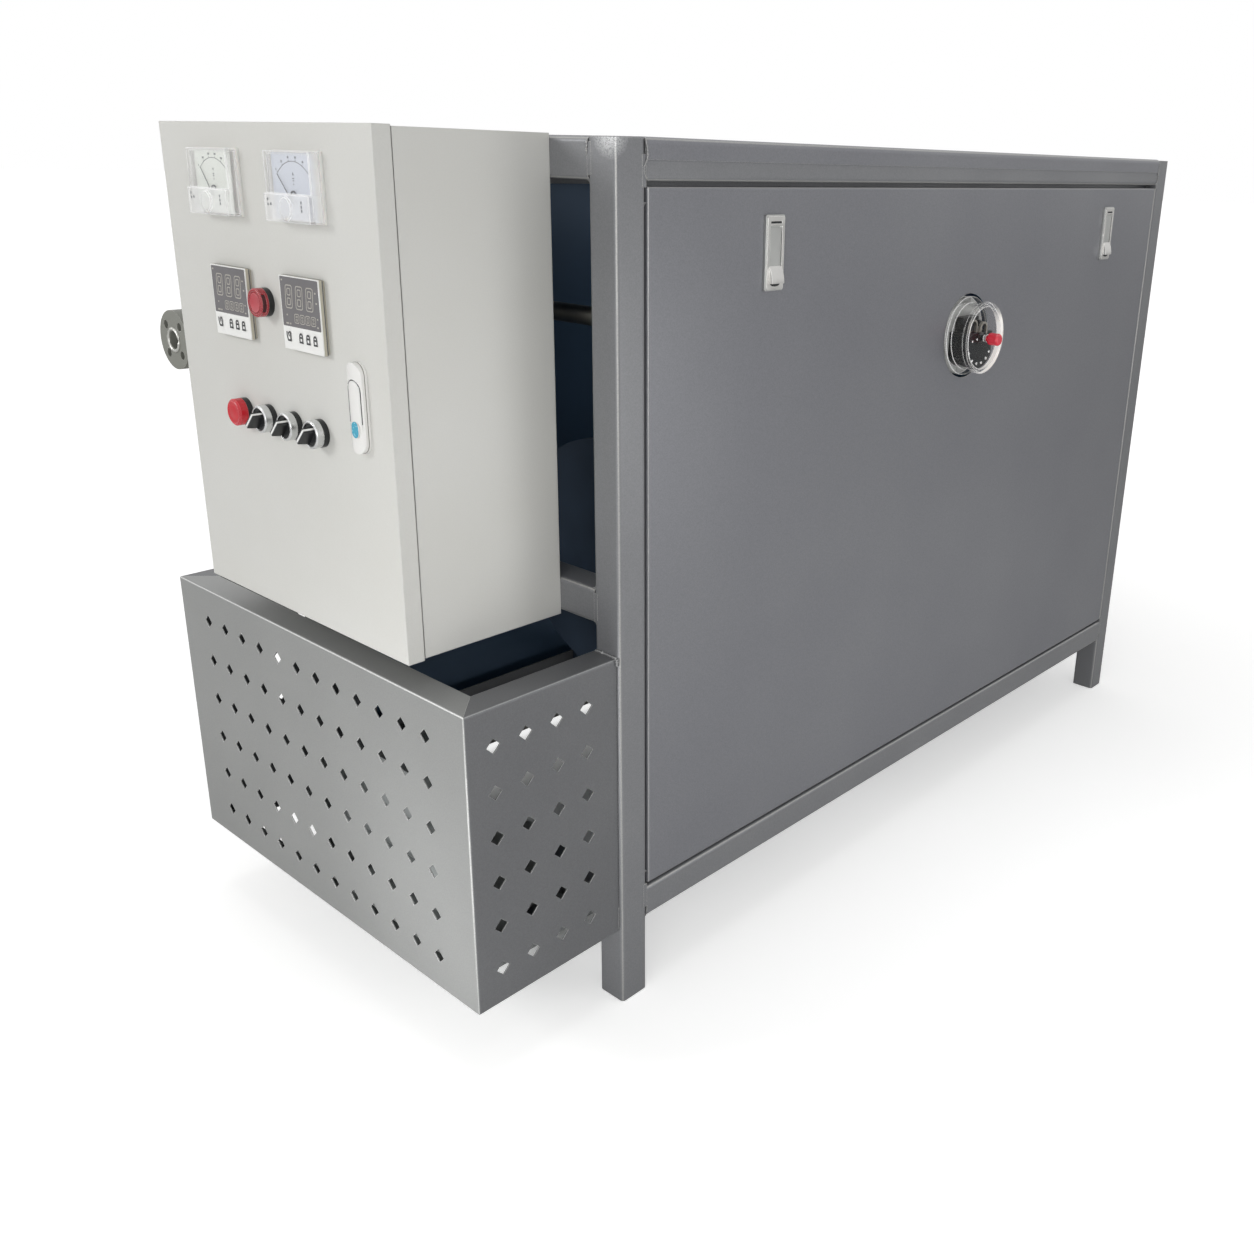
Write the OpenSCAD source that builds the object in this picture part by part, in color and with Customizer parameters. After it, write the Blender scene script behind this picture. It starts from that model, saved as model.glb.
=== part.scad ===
// Electric thermal oil boiler on a welded tube frame, with a control cabinet and a perforated pump guard.
// X runs along the frame, Y from the gauge side to the rear, Z up, millimetres.
// The origin is the centre of the foot under the front post at the control end.

/* [Frame] */
// Length of the welded frame
frame_l = 1295; // [1200:5:1400]
// Depth of the welded frame
frame_w = 595; // [585:5:640]
// Height of the welded frame
frame_h = 980; // [970:5:1040]
// Side of the square tube
tube = 40; // [36:1:44]
// Wall of the square tube
tube_wall = 2.5; // [2:0.5:4]
// Outer corner radius of the square tube
tube_r = 5; // [4.5:0.5:8]
// Floor to the underside of the lower rails
rail_z = 101; // [90:1:110]
// Underside of the cabinet to the underside of the middle rail
mid_step = 5; // [2:1:10]

/* [Panels] */
// Sheet thickness of the panels
panel_t = 1.5; // [1:0.5:3]
// Depth of the folded panel edges
panel_d = 18; // [12:1:22]
// Inner radius of the folds in the panels and the guard
fold_r = 1.5; // [1:0.5:3]
// How far the roof sheet folds down over the long rails
roof_lip = 20; // [14:1:26]
// Gap between a panel and the posts beside it
panel_side_gap = 3; // [2:0.5:5]
// Gap between a panel and the rails above and below it
panel_rail_gap = 4.5; // [2:0.5:8]
// Width of the stop strips behind the panels
stop_w = 20; // [12:1:26]
// Thickness of the stop strips
stop_t = 3; // [2:0.5:5]

/* [Latches] */
// Width of a latch plate
latch_w = 32; // [28:1:40]
// Height of a latch plate
latch_h = 82; // [74:1:96]
// How far a latch plate stands out of the panel
latch_proud = 5; // [4:0.5:7]
// Panel edge to the first latch's centre line
latch_near_inset = 193; // [120:1:260]
// Panel edge to the second latch's centre line
latch_far_inset = 175; // [120:1:260]
// Panel top edge to the top of a latch
latch_drop = 29; // [15:1:60]

/* [Gauge] */
// Frame end to the gauge centre
gauge_x = 669; // [560:1:760]
// Frame's top to the gauge centre
gauge_drop = 243.5; // [220:0.5:280]
// Diameter of the round hole in the front panel
gauge_hole_d = 117; // [110:1:130]
// Diameter of the clear cup's front rim
gauge_d = 99; // [95:0.5:104]
// Diameter of the clear cup's back ring
gauge_ring_d = 109; // [106:0.5:109.5]
// Diameter of the clear cup between its rim and its ring
gauge_waist_d = 92; // [86:0.5:94]
// How far the cup stands out of the panel
gauge_proud = 32; // [26:1:40]
// Depth of the closed case behind the cup
gauge_case_t = 22; // [16:1:30]
// Diameter of the red knob on the cup
gauge_knob_d = 17; // [14:0.5:20]
// Length of the red knob
gauge_knob_l = 18; // [14:0.5:24]

/* [Cabinet] */
// Width of the control cabinet
cab_w = 402; // [390:1:420]
// Height of the control cabinet
cab_h = 511; // [505:1:525]
// Depth of the control cabinet with its door
cab_d = 200; // [180:1:230]
// Front face of the frame to the near side of the cabinet
cab_y = 94; // [80:1:100]
// How far the cabinet's top stands above the frame
cab_rise = 4; // [0:1:10]
// Sheet thickness of the cabinet
cab_t = 1.5; // [1:0.5:2.5]
// Depth of the door
door_d = 19; // [17:1:24]
// Gap between the door and the cabinet body
door_seam = 2; // [2:0.5:4]
// How much smaller the body is than the door on each side
body_inset = 1.5; // [1:0.5:3]
// Width of the lip round the cabinet's mouth
lip_w = 14; // [10:1:20]

/* [Instruments] */
// Width of a panel meter
meter_w = 80; // [70:1:90]
// Height of a panel meter
meter_h = 64; // [56:1:72]
// Depth of a meter's clear cover
meter_d = 11; // [9:1:16]
// Door's lower edge to the meters' centre line
meter_up = 453.5; // [440:0.5:460]
// Centre of the left meter from the door's middle
meter_left = 77; // [50:1:90]
// Centre of the right meter from the door's middle
meter_right = -77; // [-90:1:-50]
// Side of a square temperature controller
controller_w = 72; // [66:1:78]
// How far a controller stands out of the door
controller_d = 7; // [5:1:12]
// Door's lower edge to the controllers' centre line
controller_up = 334; // [325:0.5:340]
// Centre of the left controller from the door's middle
controller_left = 71; // [60:1:80]
// Centre of the right controller from the door's middle
controller_right = -68; // [-80:1:-60]
// Centre of the buzzer from the door's middle
buzzer_left = 8; // [4:0.5:12]
// Controllers' centre line to the buzzer's centre
buzzer_rise = 5; // [-10:0.5:15]
// Door's lower edge to the row of switches
switch_up = 217; // [205:1:230]
// Spacing of the row of switches
switch_pitch = 50; // [40:1:54]
// Diameter of the switch heads
switch_d = 29; // [27:0.5:32]

/* [Door handle] */
// Width of the handle
handle_w = 27; // [22:1:32]
// Height of the handle
handle_h = 90; // [80:1:110]
// How far the handle stands out of the door
handle_d = 8; // [6:1:12]
// Door's near edge to the handle's centre line
handle_inset = 50; // [40:1:60]
// Door's lower edge to the handle's centre
handle_up = 254; // [240:1:270]

/* [Guard] */
// How far the guard reaches out from the frame
guard_d = 202; // [190:1:230]
// Gap between the guard and the cabinet above it
guard_drop = 27; // [20:1:40]
// Floor to the underside of the guard
guard_z = 98; // [92:1:104]
// Step in from the frame's sides to the guard
guard_inset = 5; // [3:0.5:8]
// Sheet thickness of the guard
guard_t = 1.5; // [1:0.5:3]
// Width of the guard's folded flanges
guard_flange = 35; // [25:1:40]
// Gap between the guard and the posts
guard_gap = 0.8; // [0.5:0.1:0.9]
// Side of the square holes that stand on their corners
hole_side = 12; // [8:0.5:14]
// Spacing of the holes along a row
hole_pitch = 41; // [38:0.5:44]
// Spacing of the rows of holes
row_pitch = 52.5; // [48:0.5:56]
// Guard's front face to the first hole on its sides
side_first = 34; // [30:1:40]

/* [Pipework] */
// Outer diameter of the oil pipe
pipe_d = 27; // [24:1:30]
// Bore of the oil pipe and its flange
pipe_bore = 21; // [16:0.5:22]
// Outer diameter of the flange
flange_d = 68; // [66:1:72]
// Thickness of the flange
flange_t = 16; // [12:1:20]
// Bolt circle of the flange
flange_pcd = 46; // [44:1:48]
// Diameter of the flange's bolt holes
flange_hole_d = 10; // [8:0.5:11]
// Frame end to the flange face
flange_x = 193; // [185:1:196]
// Front face of the frame to the oil pipe
flange_y = 540; // [538:1:541]
// Floor to the oil pipe
flange_z = 746; // [720:1:780]
// Diameter of the thin gauge pipe
gauge_pipe_d = 16; // [12:1:20]

/* [Heater] */
// Outer diameter of the heater drum
drum_d = 300; // [280:2:320]
// Length of the heater drum
drum_l = 820; // [760:5:860]
// Frame end to the heater drum
drum_x = 250; // [240:2:270]
// Floor to the drum's axis
drum_z = 430; // [420:1:450]
// Wall of the heater drum
drum_wall = 5; // [4:0.5:8]
// Thickness of a saddle plate
saddle_t = 8; // [6:0.5:12]

/* [Pump] */
// Diameter of the motor body
motor_d = 136; // [120:1:144]
// Length of the motor body
motor_l = 240; // [220:1:250]
// Motor feet to the shaft axis
shaft_h = 80; // [76:1:88]
// Front face of the frame to the motor's fan end
motor_y = 90; // [70:1:110]
// Frame end to the motor's axis
motor_x = 98; // [96:1:100]
// Diameter of the pump casing
pump_d = 130; // [116:1:140]
// Width of the pump casing
pump_w = 52; // [44:1:60]

/* [Hidden] */
$fn = 64;

frame_grey = "#7d8083";
panel_grey = "#808284";
guard_grey = "#9fa09f";
cabinet_cream = "#d3d4ce";
trim_white = "#e6e6e2";
black_plastic = "#1d1e20";
lamp_red = "#c8202c";
bright_metal = "#c4c6c8";
clear_plastic = "#dfe8ea";

cut = 1;
tube_inner_r = tube_r - tube_wall;
tube_inner = tube - 2 * tube_wall;
post_cap = 3;
stop_root = tube_wall / 2;

top_rail_z = frame_h - tube;
rail_top = rail_z + tube;
rail_run_x = frame_l - 2 * tube;
rail_run_y = frame_w - 2 * tube;

cab_z = frame_h + cab_rise - cab_h;
mid_z = cab_z + mid_step;
guard_h = cab_z - guard_drop - guard_z;
gauge_z = frame_h - gauge_drop;

panel_z = rail_top + panel_rail_gap;
panel_h = top_rail_z - panel_rail_gap - panel_z;
panel_x = tube + panel_side_gap;
panel_run_x = rail_run_x - 2 * panel_side_gap;
panel_run_y = rail_run_y - 2 * panel_side_gap;
panel_bend = panel_t + fold_r;

latch_edge_r = 2.5;
latch_rim = 3;
latch_step = 1.5;
latch_back_d = 14;
latch_bed_w = 21;
latch_bed_d = 2;
latch_lever_w = 18;
latch_lever_t = 1;
latch_slot_w = 19;
latch_slot_h = 2.5;
latch_slot_share = 0.9;
latch_bed_share = 0.86;
latch_pull_share = 0.33;
latch_foot_share = 0.1;
latch_pull_proud = 5;
latch_pull_wall = 2;
latch_z = panel_z + panel_h - latch_drop - latch_h;

gauge_wall = 2.5;
gauge_edge = 2;
gauge_seat = 8;
gauge_ring_proud = 2;
gauge_rim_t = 8;
gauge_inner_d = gauge_waist_d - 2 * gauge_wall;
gauge_play = 0.3;
gauge_shaft_d = 8;
gauge_shaft_l = 10;
gauge_body_w = 66;
gauge_body_top = 7;
gauge_frame_w = 40;
gauge_frame_h = 20;
gauge_frame_t = 14;
gauge_arm_d = 9;
gauge_knob_gap = 4;
knob_edge_share = 0.22;
gauge_knob_edge = knob_edge_share * gauge_knob_d;
gauge_bend = 1.5 * gauge_pipe_d;

body_x = cab_d - door_d - door_seam;
body_y = cab_y + body_inset;
body_z = cab_z + body_inset;
body_w = cab_w - 2 * body_inset;
body_h = cab_h - 2 * body_inset;
cab_mid_y = cab_y + cab_w / 2;

hinge_pin_d = 5;
hinge_fit = 0.1;
hinge_arm_w = 6;
hinge_arm_t = 4;
hinge_reach = 13;
hinge_lug_t = 3;
hinge_play = 0.3;
hinge_ends_share = 0.16;
hinge_notch_gap = 1;
hinge_notch = hinge_arm_w / 2 + hinge_notch_gap;
hinge_x = cab_d - door_d + hinge_reach;
hinge_y = cab_y + cab_w - body_inset - cab_t - hinge_arm_w / 2;
hinge_levels = [cab_z + cab_h * hinge_ends_share, cab_z + cab_h * (1 - hinge_ends_share)];

meter_plate_t = 3;
meter_wall = 2;
meter_barrel_d = 50;
meter_barrel_l = 38;
meter_box_share = 0.4;
meter_box_proud = 3;
meter_step = 0.8;
meter_dial_t = 4;
meter_boss_share = 0.8;
meter_boss_proud = 2;
cutout_play = 0.5;

controller_step = 1;
controller_back_t = 2.5;
controller_body_step = 3;
controller_body_w = controller_w - 2 * controller_body_step;
controller_body_l = 68;
controller_window_share = 0.6;
controller_rim = 2.5;
controller_sink = 1;
key_w = 7;
key_proud = 0.5;
key_shares = [0.36, 0.04, -0.14, -0.32];

switch_stem_d = 22;
switch_stem_l = 40;
collar_t = 6;
cap_edge = 1;
cap_rim = 3;
cap_sink = 1;
buzzer_l = 8;
buzzer_slot_h = 21;
buzzer_slot_w = 4;
buzzer_slot_d = 4;
buzzer_slot_back = 2.5;
lamp_l = 9;
bezel_l = 8;
bezel_wall = 2.5;
knob_play = 0.3;
knob_disc_t = 3;
knob_bar_base = 10;
knob_bar_tip = 5;
knob_bar_l = 20;
knob_bar_t = 15;
knob_shaft_d = 8;
knob_shaft_l = 4;
knob_fit = 0.1;
knob_sink = 5;
knob_turn = -45;
lamp_y = cab_mid_y + 1.5 * switch_pitch;
selector_ys = [for (i = [0.5, -0.5, -1.5]) cab_mid_y + i * switch_pitch];
switch_z = cab_z + switch_up;
buzzer_y = cab_mid_y + buzzer_left;
buzzer_z = cab_z + controller_up + buzzer_rise;

handle_stem_d = 16;
handle_stem_l = 16;
handle_base_t = 2;
handle_step = 0.8;
handle_crown = 2.5;
handle_groove = 1.2;
handle_groove_d = 2;
handle_lever_top_share = 0.3;
handle_lever_w = 19;
handle_button_w = 12;
handle_button_h = 17;
handle_button_proud = 0.8;
handle_button_share = 0.225;
handle_groove_share = 0.22;
handle_body_w = handle_w - 2 * handle_step;
handle_crown_r = (handle_body_w * handle_body_w / 4 + handle_crown * handle_crown) / (2 * handle_crown);

guard_bend = guard_t + fold_r;
guard_w = frame_w - 2 * guard_inset;
guard_back = guard_inset + guard_w;
guard_mitre = guard_flange + cut;
guard_side_w = guard_d - guard_t - guard_gap;
hole_edge = 30;
hole_end = 60;
front_cols = 1 + floor((guard_w - 2 * hole_end) / hole_pitch);
side_cols = 1 + floor((guard_side_w - side_first - hole_edge) / hole_pitch);
hole_rows = 1 + floor((guard_h - 2 * hole_edge) / row_pitch);
front_first = (guard_w - (front_cols - 1) * hole_pitch) / 2;
row_first = (guard_h - (hole_rows - 1) * row_pitch) / 2;

oil_bend = 50;
oil_entry = 90;
oil_turn_x = drum_x + oil_entry;
drum_mid_y = frame_w / 2;
drum_end_t = 12;
drum_collar_w = 20;
drum_collar_d = drum_d + 2 * drum_collar_w;
drum_collar_t = 16;
drum_seat = 0.2;
saddle_ends_share = 0.22;
saddle_w = 240;
saddle_foot_h = 40;
saddle_gap = 3;
saddle_step = panel_d + stop_t + saddle_gap;

base_t = 8;
base_gap = 2;
base_reach = guard_d - guard_flange - base_gap;
base_over = 30;
base_z = rail_z - base_t;
motor_z = rail_z + shaft_h;
motor_foot_w = 30;
motor_foot_t = 10;
motor_foot_span = 130;
cowl_l = 60;
fin_count = 32;
fin_h = 8;
fin_t = 2.5;
terminal_w = 90;
terminal_h = 42;
coupling_d = 60;
coupling_l = 34;
pump_y = motor_y + motor_l + coupling_l;
pump_port_d = 44;
pump_foot_w = 90;
pump_entry = 110;
pump_pipe_x = drum_x + pump_entry;

// Everything is placed from the frame's lower corner and shown from the centre of that corner's foot.
module from_foot() {
    translate([-tube / 2, -tube / 2, 0]) children();
}

// Rectangle with rounded corners, its lower corner at the origin.
module round_rect(w, h, r) {
    translate([r, 0]) square([w - 2 * r, h]);
    translate([0, r]) square([w, h - 2 * r]);
    for (x = [r, w - r], y = [r, h - r]) {
        translate([x, y]) circle(r);
    }
}

// Cross section of the square tube.
module tube_section() {
    difference() {
        round_rect(tube, tube, tube_r);
        translate([tube_wall, tube_wall]) round_rect(tube_inner, tube_inner, tube_inner_r);
    }
}

// Capped upright tube.
module post(x, y) {
    translate([x, y, 0]) difference() {
        linear_extrude(frame_h) round_rect(tube, tube, tube_r);
        translate([tube_wall, tube_wall, post_cap])
            linear_extrude(frame_h - 2 * post_cap) round_rect(tube_inner, tube_inner, tube_inner_r);
    }
}

// Tube between the posts along X.
module rail_x(z) {
    translate([tube, 0, z]) rotate([90, 0, 90]) linear_extrude(rail_run_x) tube_section();
}

// Tube between the posts along Y.
module rail_y(x, z) {
    translate([x, frame_w - tube, z]) rotate([90, 0, 0]) linear_extrude(rail_run_y) tube_section();
}

// The same piece on the far side of the frame.
module far_side() {
    translate([0, frame_w, 0]) mirror([0, 1, 0]) children();
}

// Upper long rail with the strip that the side panel closes on.
module top_rail_long() {
    rail_x(top_rail_z);
    translate([tube, panel_d, top_rail_z - stop_w]) cube([rail_run_x, stop_t, stop_w + stop_root]);
}

// Lower long rail with the strip that the side panel stands against.
module bottom_rail_long() {
    rail_x(rail_z);
    translate([tube, panel_d, rail_top - stop_root]) cube([rail_run_x, stop_t, stop_w + stop_root]);
}

// Rectangle whose two corners on the X axis are rounded.
module fold_outline(w, d, r) {
    translate([r, 0]) square([w - 2 * r, d]);
    translate([0, r]) square([w, d - r]);
    for (x = [r, w - r]) {
        translate([x, r]) circle(r);
    }
}

// Block with its face in the XZ plane and the four edges of that face rounded.
module fold_block(w, d, h, r) {
    intersection() {
        linear_extrude(h) fold_outline(w, d, r);
        rotate([90, 0, 90]) linear_extrude(w) mirror([1, -1, 0]) fold_outline(h, d, r);
    }
}

// Sheet folded back on all four edges, its face in the XZ plane.
module tray(w, h) {
    difference() {
        fold_block(w, panel_d, h, panel_bend);
        translate([panel_t, panel_t, panel_t])
            fold_block(w - 2 * panel_t, panel_d, h - 2 * panel_t, fold_r);
    }
}

// Cylinder along Y that starts at the point.
module rod_y(x, y, z, d, l) {
    translate([x, y, z]) rotate([-90, 0, 0]) cylinder(d = d, h = l);
}

// Cylinder along X that starts at the point.
module rod_x(x, y, z, d, l) {
    translate([x, y, z]) rotate([0, 90, 0]) cylinder(d = d, h = l);
}

// Quarter bend of pipe about its local Z axis, from +X to +Y.
module bend(radius, d) {
    rotate_extrude(angle = 90) translate([radius, 0]) circle(d = d);
}

// Place on the door's face: local Z points out of the door and local X points up.
module on_door(y, z) {
    translate([-cab_d, y, z]) rotate([0, -90, 0]) children();
}

// Rectangular block centred on its axis.
module block(h, w, d) {
    translate([-h / 2, -w / 2, 0]) cube([h, w, d]);
}

// Outline with two round ends, standing along local X.
module pill(h, w) {
    for (s = [-1, 1]) {
        translate([s * (h - w) / 2, 0]) circle(d = w);
    }
    translate([-(h - w) / 2, -w / 2]) square([h - w, w]);
}

module post_front_left() { color(frame_grey) from_foot() post(0, 0); }
module post_back_left() { color(frame_grey) from_foot() post(0, frame_w - tube); }
module post_front_right() { color(frame_grey) from_foot() post(frame_l - tube, 0); }
module post_back_right() { color(frame_grey) from_foot() post(frame_l - tube, frame_w - tube); }

module top_rail_front() { color(frame_grey) from_foot() top_rail_long(); }
module top_rail_back() { color(frame_grey) from_foot() far_side() top_rail_long(); }
module top_rail_left() { color(frame_grey) from_foot() rail_y(0, top_rail_z); }
module bottom_rail_front() { color(frame_grey) from_foot() bottom_rail_long(); }
module bottom_rail_back() { color(frame_grey) from_foot() far_side() bottom_rail_long(); }
module bottom_rail_left() { color(frame_grey) from_foot() rail_y(0, rail_z); }
module middle_rail() { color(frame_grey) from_foot() rail_y(0, mid_z); }

module top_rail_right() {
    color(frame_grey) from_foot() {
        rail_y(frame_l - tube, top_rail_z);
        translate([frame_l - panel_d - stop_t, tube, top_rail_z - stop_w])
            cube([stop_t, rail_run_y, stop_w + stop_root]);
    }
}

module bottom_rail_right() {
    color(frame_grey) from_foot() {
        rail_y(frame_l - tube, rail_z);
        translate([frame_l - panel_d - stop_t, tube, rail_top - stop_root])
            cube([stop_t, rail_run_y, stop_w + stop_root]);
    }
}

// Centre lines of the two latches.
latch_xs = [panel_x + latch_near_inset, panel_x + panel_run_x - latch_far_inset];

module latch_opening(x) {
    translate([x - latch_w / 2 + latch_rim, -cut, latch_z + latch_rim])
        cube([latch_w - 2 * latch_rim, panel_t + 2 * cut, latch_h - 2 * latch_rim]);
}

module front_panel() {
    color(panel_grey) from_foot() difference() {
        translate([panel_x, 0, panel_z]) tray(panel_run_x, panel_h);
        rod_y(gauge_x, -cut, gauge_z, gauge_hole_d, panel_t + 2 * cut);
        for (x = latch_xs) {
            latch_opening(x);
        }
    }
}

module back_panel() {
    color(panel_grey) from_foot() far_side() translate([panel_x, 0, panel_z]) tray(panel_run_x, panel_h);
}

module end_panel() {
    color(panel_grey) from_foot() translate([frame_l, tube + panel_side_gap, panel_z])
        rotate([0, 0, 90]) tray(panel_run_y, panel_h);
}

// Sheet that lies on the upper rails between the posts and folds down over the long ones.
module roof_panel() {
    color(panel_grey) from_foot() translate([tube, 0, 0]) rotate([90, 0, 90])
        linear_extrude(rail_run_x) difference() {
            translate([-panel_t, frame_h + panel_t]) mirror([0, 1, 0])
                fold_outline(frame_w + 2 * panel_t, roof_lip + panel_t, tube_r + panel_t);
            translate([0, frame_h]) mirror([0, 1, 0]) fold_outline(frame_w, roof_lip + cut, tube_r);
        }
}

// Outline of the latch's finger pull: flat foot, round back, its lower edge on the X axis.
module pull_outline(h, out) {
    r = (h * h + out * out) / (2 * out);
    intersection() {
        translate([out - r, 0]) circle(r, $fn = 128);
        translate([-latch_bed_d - cut, 0]) square([latch_bed_d + cut + out, h]);
    }
}

// Flush latch: stepped plate with a slot and a sunk bed, a box behind the panel.
// A flat lever and a round-backed finger pull lie in the bed.
module latch(x) {
    box_w = latch_w - 2 * latch_rim - 2 * cutout_play;
    box_h = latch_h - 2 * latch_rim - 2 * cutout_play;
    bed_z = latch_h * latch_foot_share;
    bed_h = latch_h * latch_bed_share - bed_z;
    pull_h = latch_h * latch_pull_share - bed_z;
    lever_z = latch_h * latch_pull_share;
    bed_y = -latch_proud + latch_bed_d;
    translate([x, 0, latch_z]) {
        difference() {
            union() {
                translate([-latch_w / 2, 0, 0]) rotate([90, 0, 0])
                    linear_extrude(latch_proud - latch_step) round_rect(latch_w, latch_h, latch_edge_r);
                translate([latch_step - latch_w / 2, 0, latch_step]) rotate([90, 0, 0])
                    linear_extrude(latch_proud)
                        round_rect(latch_w - 2 * latch_step, latch_h - 2 * latch_step, latch_edge_r);
            }
            translate([-latch_bed_w / 2, -latch_proud - cut, bed_z])
                cube([latch_bed_w, latch_bed_d + cut, bed_h]);
            translate([-latch_slot_w / 2, -latch_proud - cut, latch_h * latch_slot_share - latch_slot_h / 2])
                cube([latch_slot_w, latch_proud, latch_slot_h]);
        }
        translate([-latch_lever_w / 2, bed_y - latch_lever_t, lever_z])
            cube([latch_lever_w, latch_lever_t + cut, bed_z + bed_h - lever_z - latch_slot_h]);
        difference() {
            translate([-latch_bed_w / 2, -latch_proud, bed_z]) rotate([90, 0, 90])
                linear_extrude(latch_bed_w) mirror([1, 0]) pull_outline(pull_h, latch_pull_proud);
            translate([latch_pull_wall - latch_bed_w / 2, bed_y - latch_pull_proud, bed_z - cut])
                cube([latch_bed_w - 2 * latch_pull_wall, latch_pull_proud, pull_h / 2]);
        }
        translate([-box_w / 2, 0, latch_rim + cutout_play]) cube([box_w, latch_back_d, box_h]);
    }
}

module latch_near() { color(bright_metal) from_foot() latch(latch_xs[0]); }
module latch_far() { color(bright_metal) from_foot() latch(latch_xs[1]); }

// Place on the front panel at the gauge: local Z points out of the panel and local Y points up.
module at_gauge() {
    translate([gauge_x, 0, gauge_z]) rotate([90, 0, 0]) children();
}

// Closed black case with the movement that stands in the cup.
module gauge_case() {
    body_d = gauge_seat + gauge_proud - gauge_shaft_l;
    color(black_plastic) from_foot() at_gauge() translate([0, 0, -gauge_seat]) {
        translate([0, 0, -gauge_case_t]) cylinder(d = gauge_ring_d, h = gauge_case_t);
        intersection() {
            cylinder(d = gauge_inner_d - 2 * gauge_play, h = body_d);
            translate([-gauge_body_w / 2, -gauge_inner_d, 0])
                cube([gauge_body_w, gauge_inner_d + gauge_body_top, body_d]);
        }
        translate([-gauge_frame_w / 2, gauge_body_top, 0])
            cube([gauge_frame_w, gauge_frame_h, gauge_frame_t]);
        for (s = [-1, 1]) {
            translate([s * (gauge_frame_w - gauge_arm_d) / 2, gauge_body_top + gauge_frame_h / 2, 0])
                cylinder(d = gauge_arm_d, h = body_d - gauge_shaft_l);
        }
    }
}

// Clear cup: turned shell with a back ring, a waist and a rounded front rim, bored for the knob's shaft.
module gauge_window() {
    waist_r = gauge_waist_d / 2;
    ring_r = gauge_ring_d / 2;
    rim_r = gauge_d / 2;
    rim_z = gauge_proud - gauge_rim_t;
    bore_r = gauge_shaft_d / 2 + knob_fit;
    color(clear_plastic) from_foot() at_gauge() rotate_extrude($fn = 96) polygon([
        [gauge_inner_d / 2, -gauge_seat],
        [ring_r, -gauge_seat],
        [ring_r, gauge_ring_proud],
        [waist_r, gauge_ring_proud + gauge_edge],
        [waist_r, rim_z - gauge_edge],
        [rim_r, rim_z],
        [rim_r, gauge_proud - gauge_edge],
        [rim_r - gauge_edge, gauge_proud],
        [bore_r, gauge_proud],
        [bore_r, gauge_proud - gauge_wall],
        [gauge_inner_d / 2, gauge_proud - gauge_wall]
    ]);
}

// Red knob with rounded ends on a shaft that ends at the movement.
module gauge_knob() {
    knob_r = gauge_knob_d / 2;
    color(lamp_red) from_foot() at_gauge() {
        translate([0, 0, gauge_proud - gauge_shaft_l])
            cylinder(d = gauge_shaft_d, h = gauge_shaft_l + gauge_knob_gap + gauge_knob_edge);
        translate([0, 0, gauge_proud + gauge_knob_gap]) rotate_extrude() {
            square([knob_r - gauge_knob_edge, gauge_knob_l]);
            translate([0, gauge_knob_edge]) square([knob_r, gauge_knob_l - 2 * gauge_knob_edge]);
            for (z = [gauge_knob_edge, gauge_knob_l - gauge_knob_edge]) {
                translate([knob_r - gauge_knob_edge, z]) circle(gauge_knob_edge);
            }
        }
    }
}

module drum_volume() {
    rod_x(drum_x, drum_mid_y, drum_z, drum_d, drum_l);
}

// Thin pipe from the back of the gauge to the drum's crown.
module gauge_pipe() {
    start_y = gauge_seat + gauge_case_t;
    turn_y = drum_mid_y - gauge_bend;
    color(bright_metal) from_foot() difference() {
        union() {
            rod_y(gauge_x, start_y, gauge_z, gauge_pipe_d, turn_y - start_y);
            translate([gauge_x, turn_y, gauge_z - gauge_bend])
                rotate([90, 0, 90]) bend(gauge_bend, gauge_pipe_d);
            translate([gauge_x, drum_mid_y, drum_z])
                cylinder(d = gauge_pipe_d, h = gauge_z - gauge_bend - drum_z);
        }
        drum_volume();
    }
}

// Box that is open at the door, with a lip round its mouth and slots where the hinge arms pass.
module cabinet_body() {
    slot_h = hinge_arm_t + 2 * cutout_play;
    color(cabinet_cream) from_foot() difference() {
        translate([-body_x, body_y, body_z]) cube([body_x, body_w, body_h]);
        translate([-body_x + cab_t, body_y + cab_t, body_z + cab_t])
            cube([body_x - 2 * cab_t, body_w - 2 * cab_t, body_h - 2 * cab_t]);
        translate([-body_x - cut, body_y + lip_w, body_z + lip_w])
            cube([cab_t + 2 * cut, body_w - 2 * lip_w, body_h - 2 * lip_w]);
        for (z = hinge_levels) {
            translate([-body_x - cut, hinge_y - hinge_arm_w / 2 - cutout_play, z - slot_h / 2])
                cube([cab_t + 2 * cut, hinge_arm_w + cutout_play, slot_h]);
        }
    }
}

// Lug on the door, bored for the hinge pin.
module hinge_lug(z) {
    depth = cab_d - cab_t / 2 - hinge_x + hinge_arm_w / 2;
    reach = cab_y + cab_w - cab_t / 2 - hinge_y;
    translate([-cab_d + cab_t / 2, hinge_y - hinge_arm_w / 2, z])
        cube([depth, reach + hinge_arm_w / 2, hinge_lug_t]);
}

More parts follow.
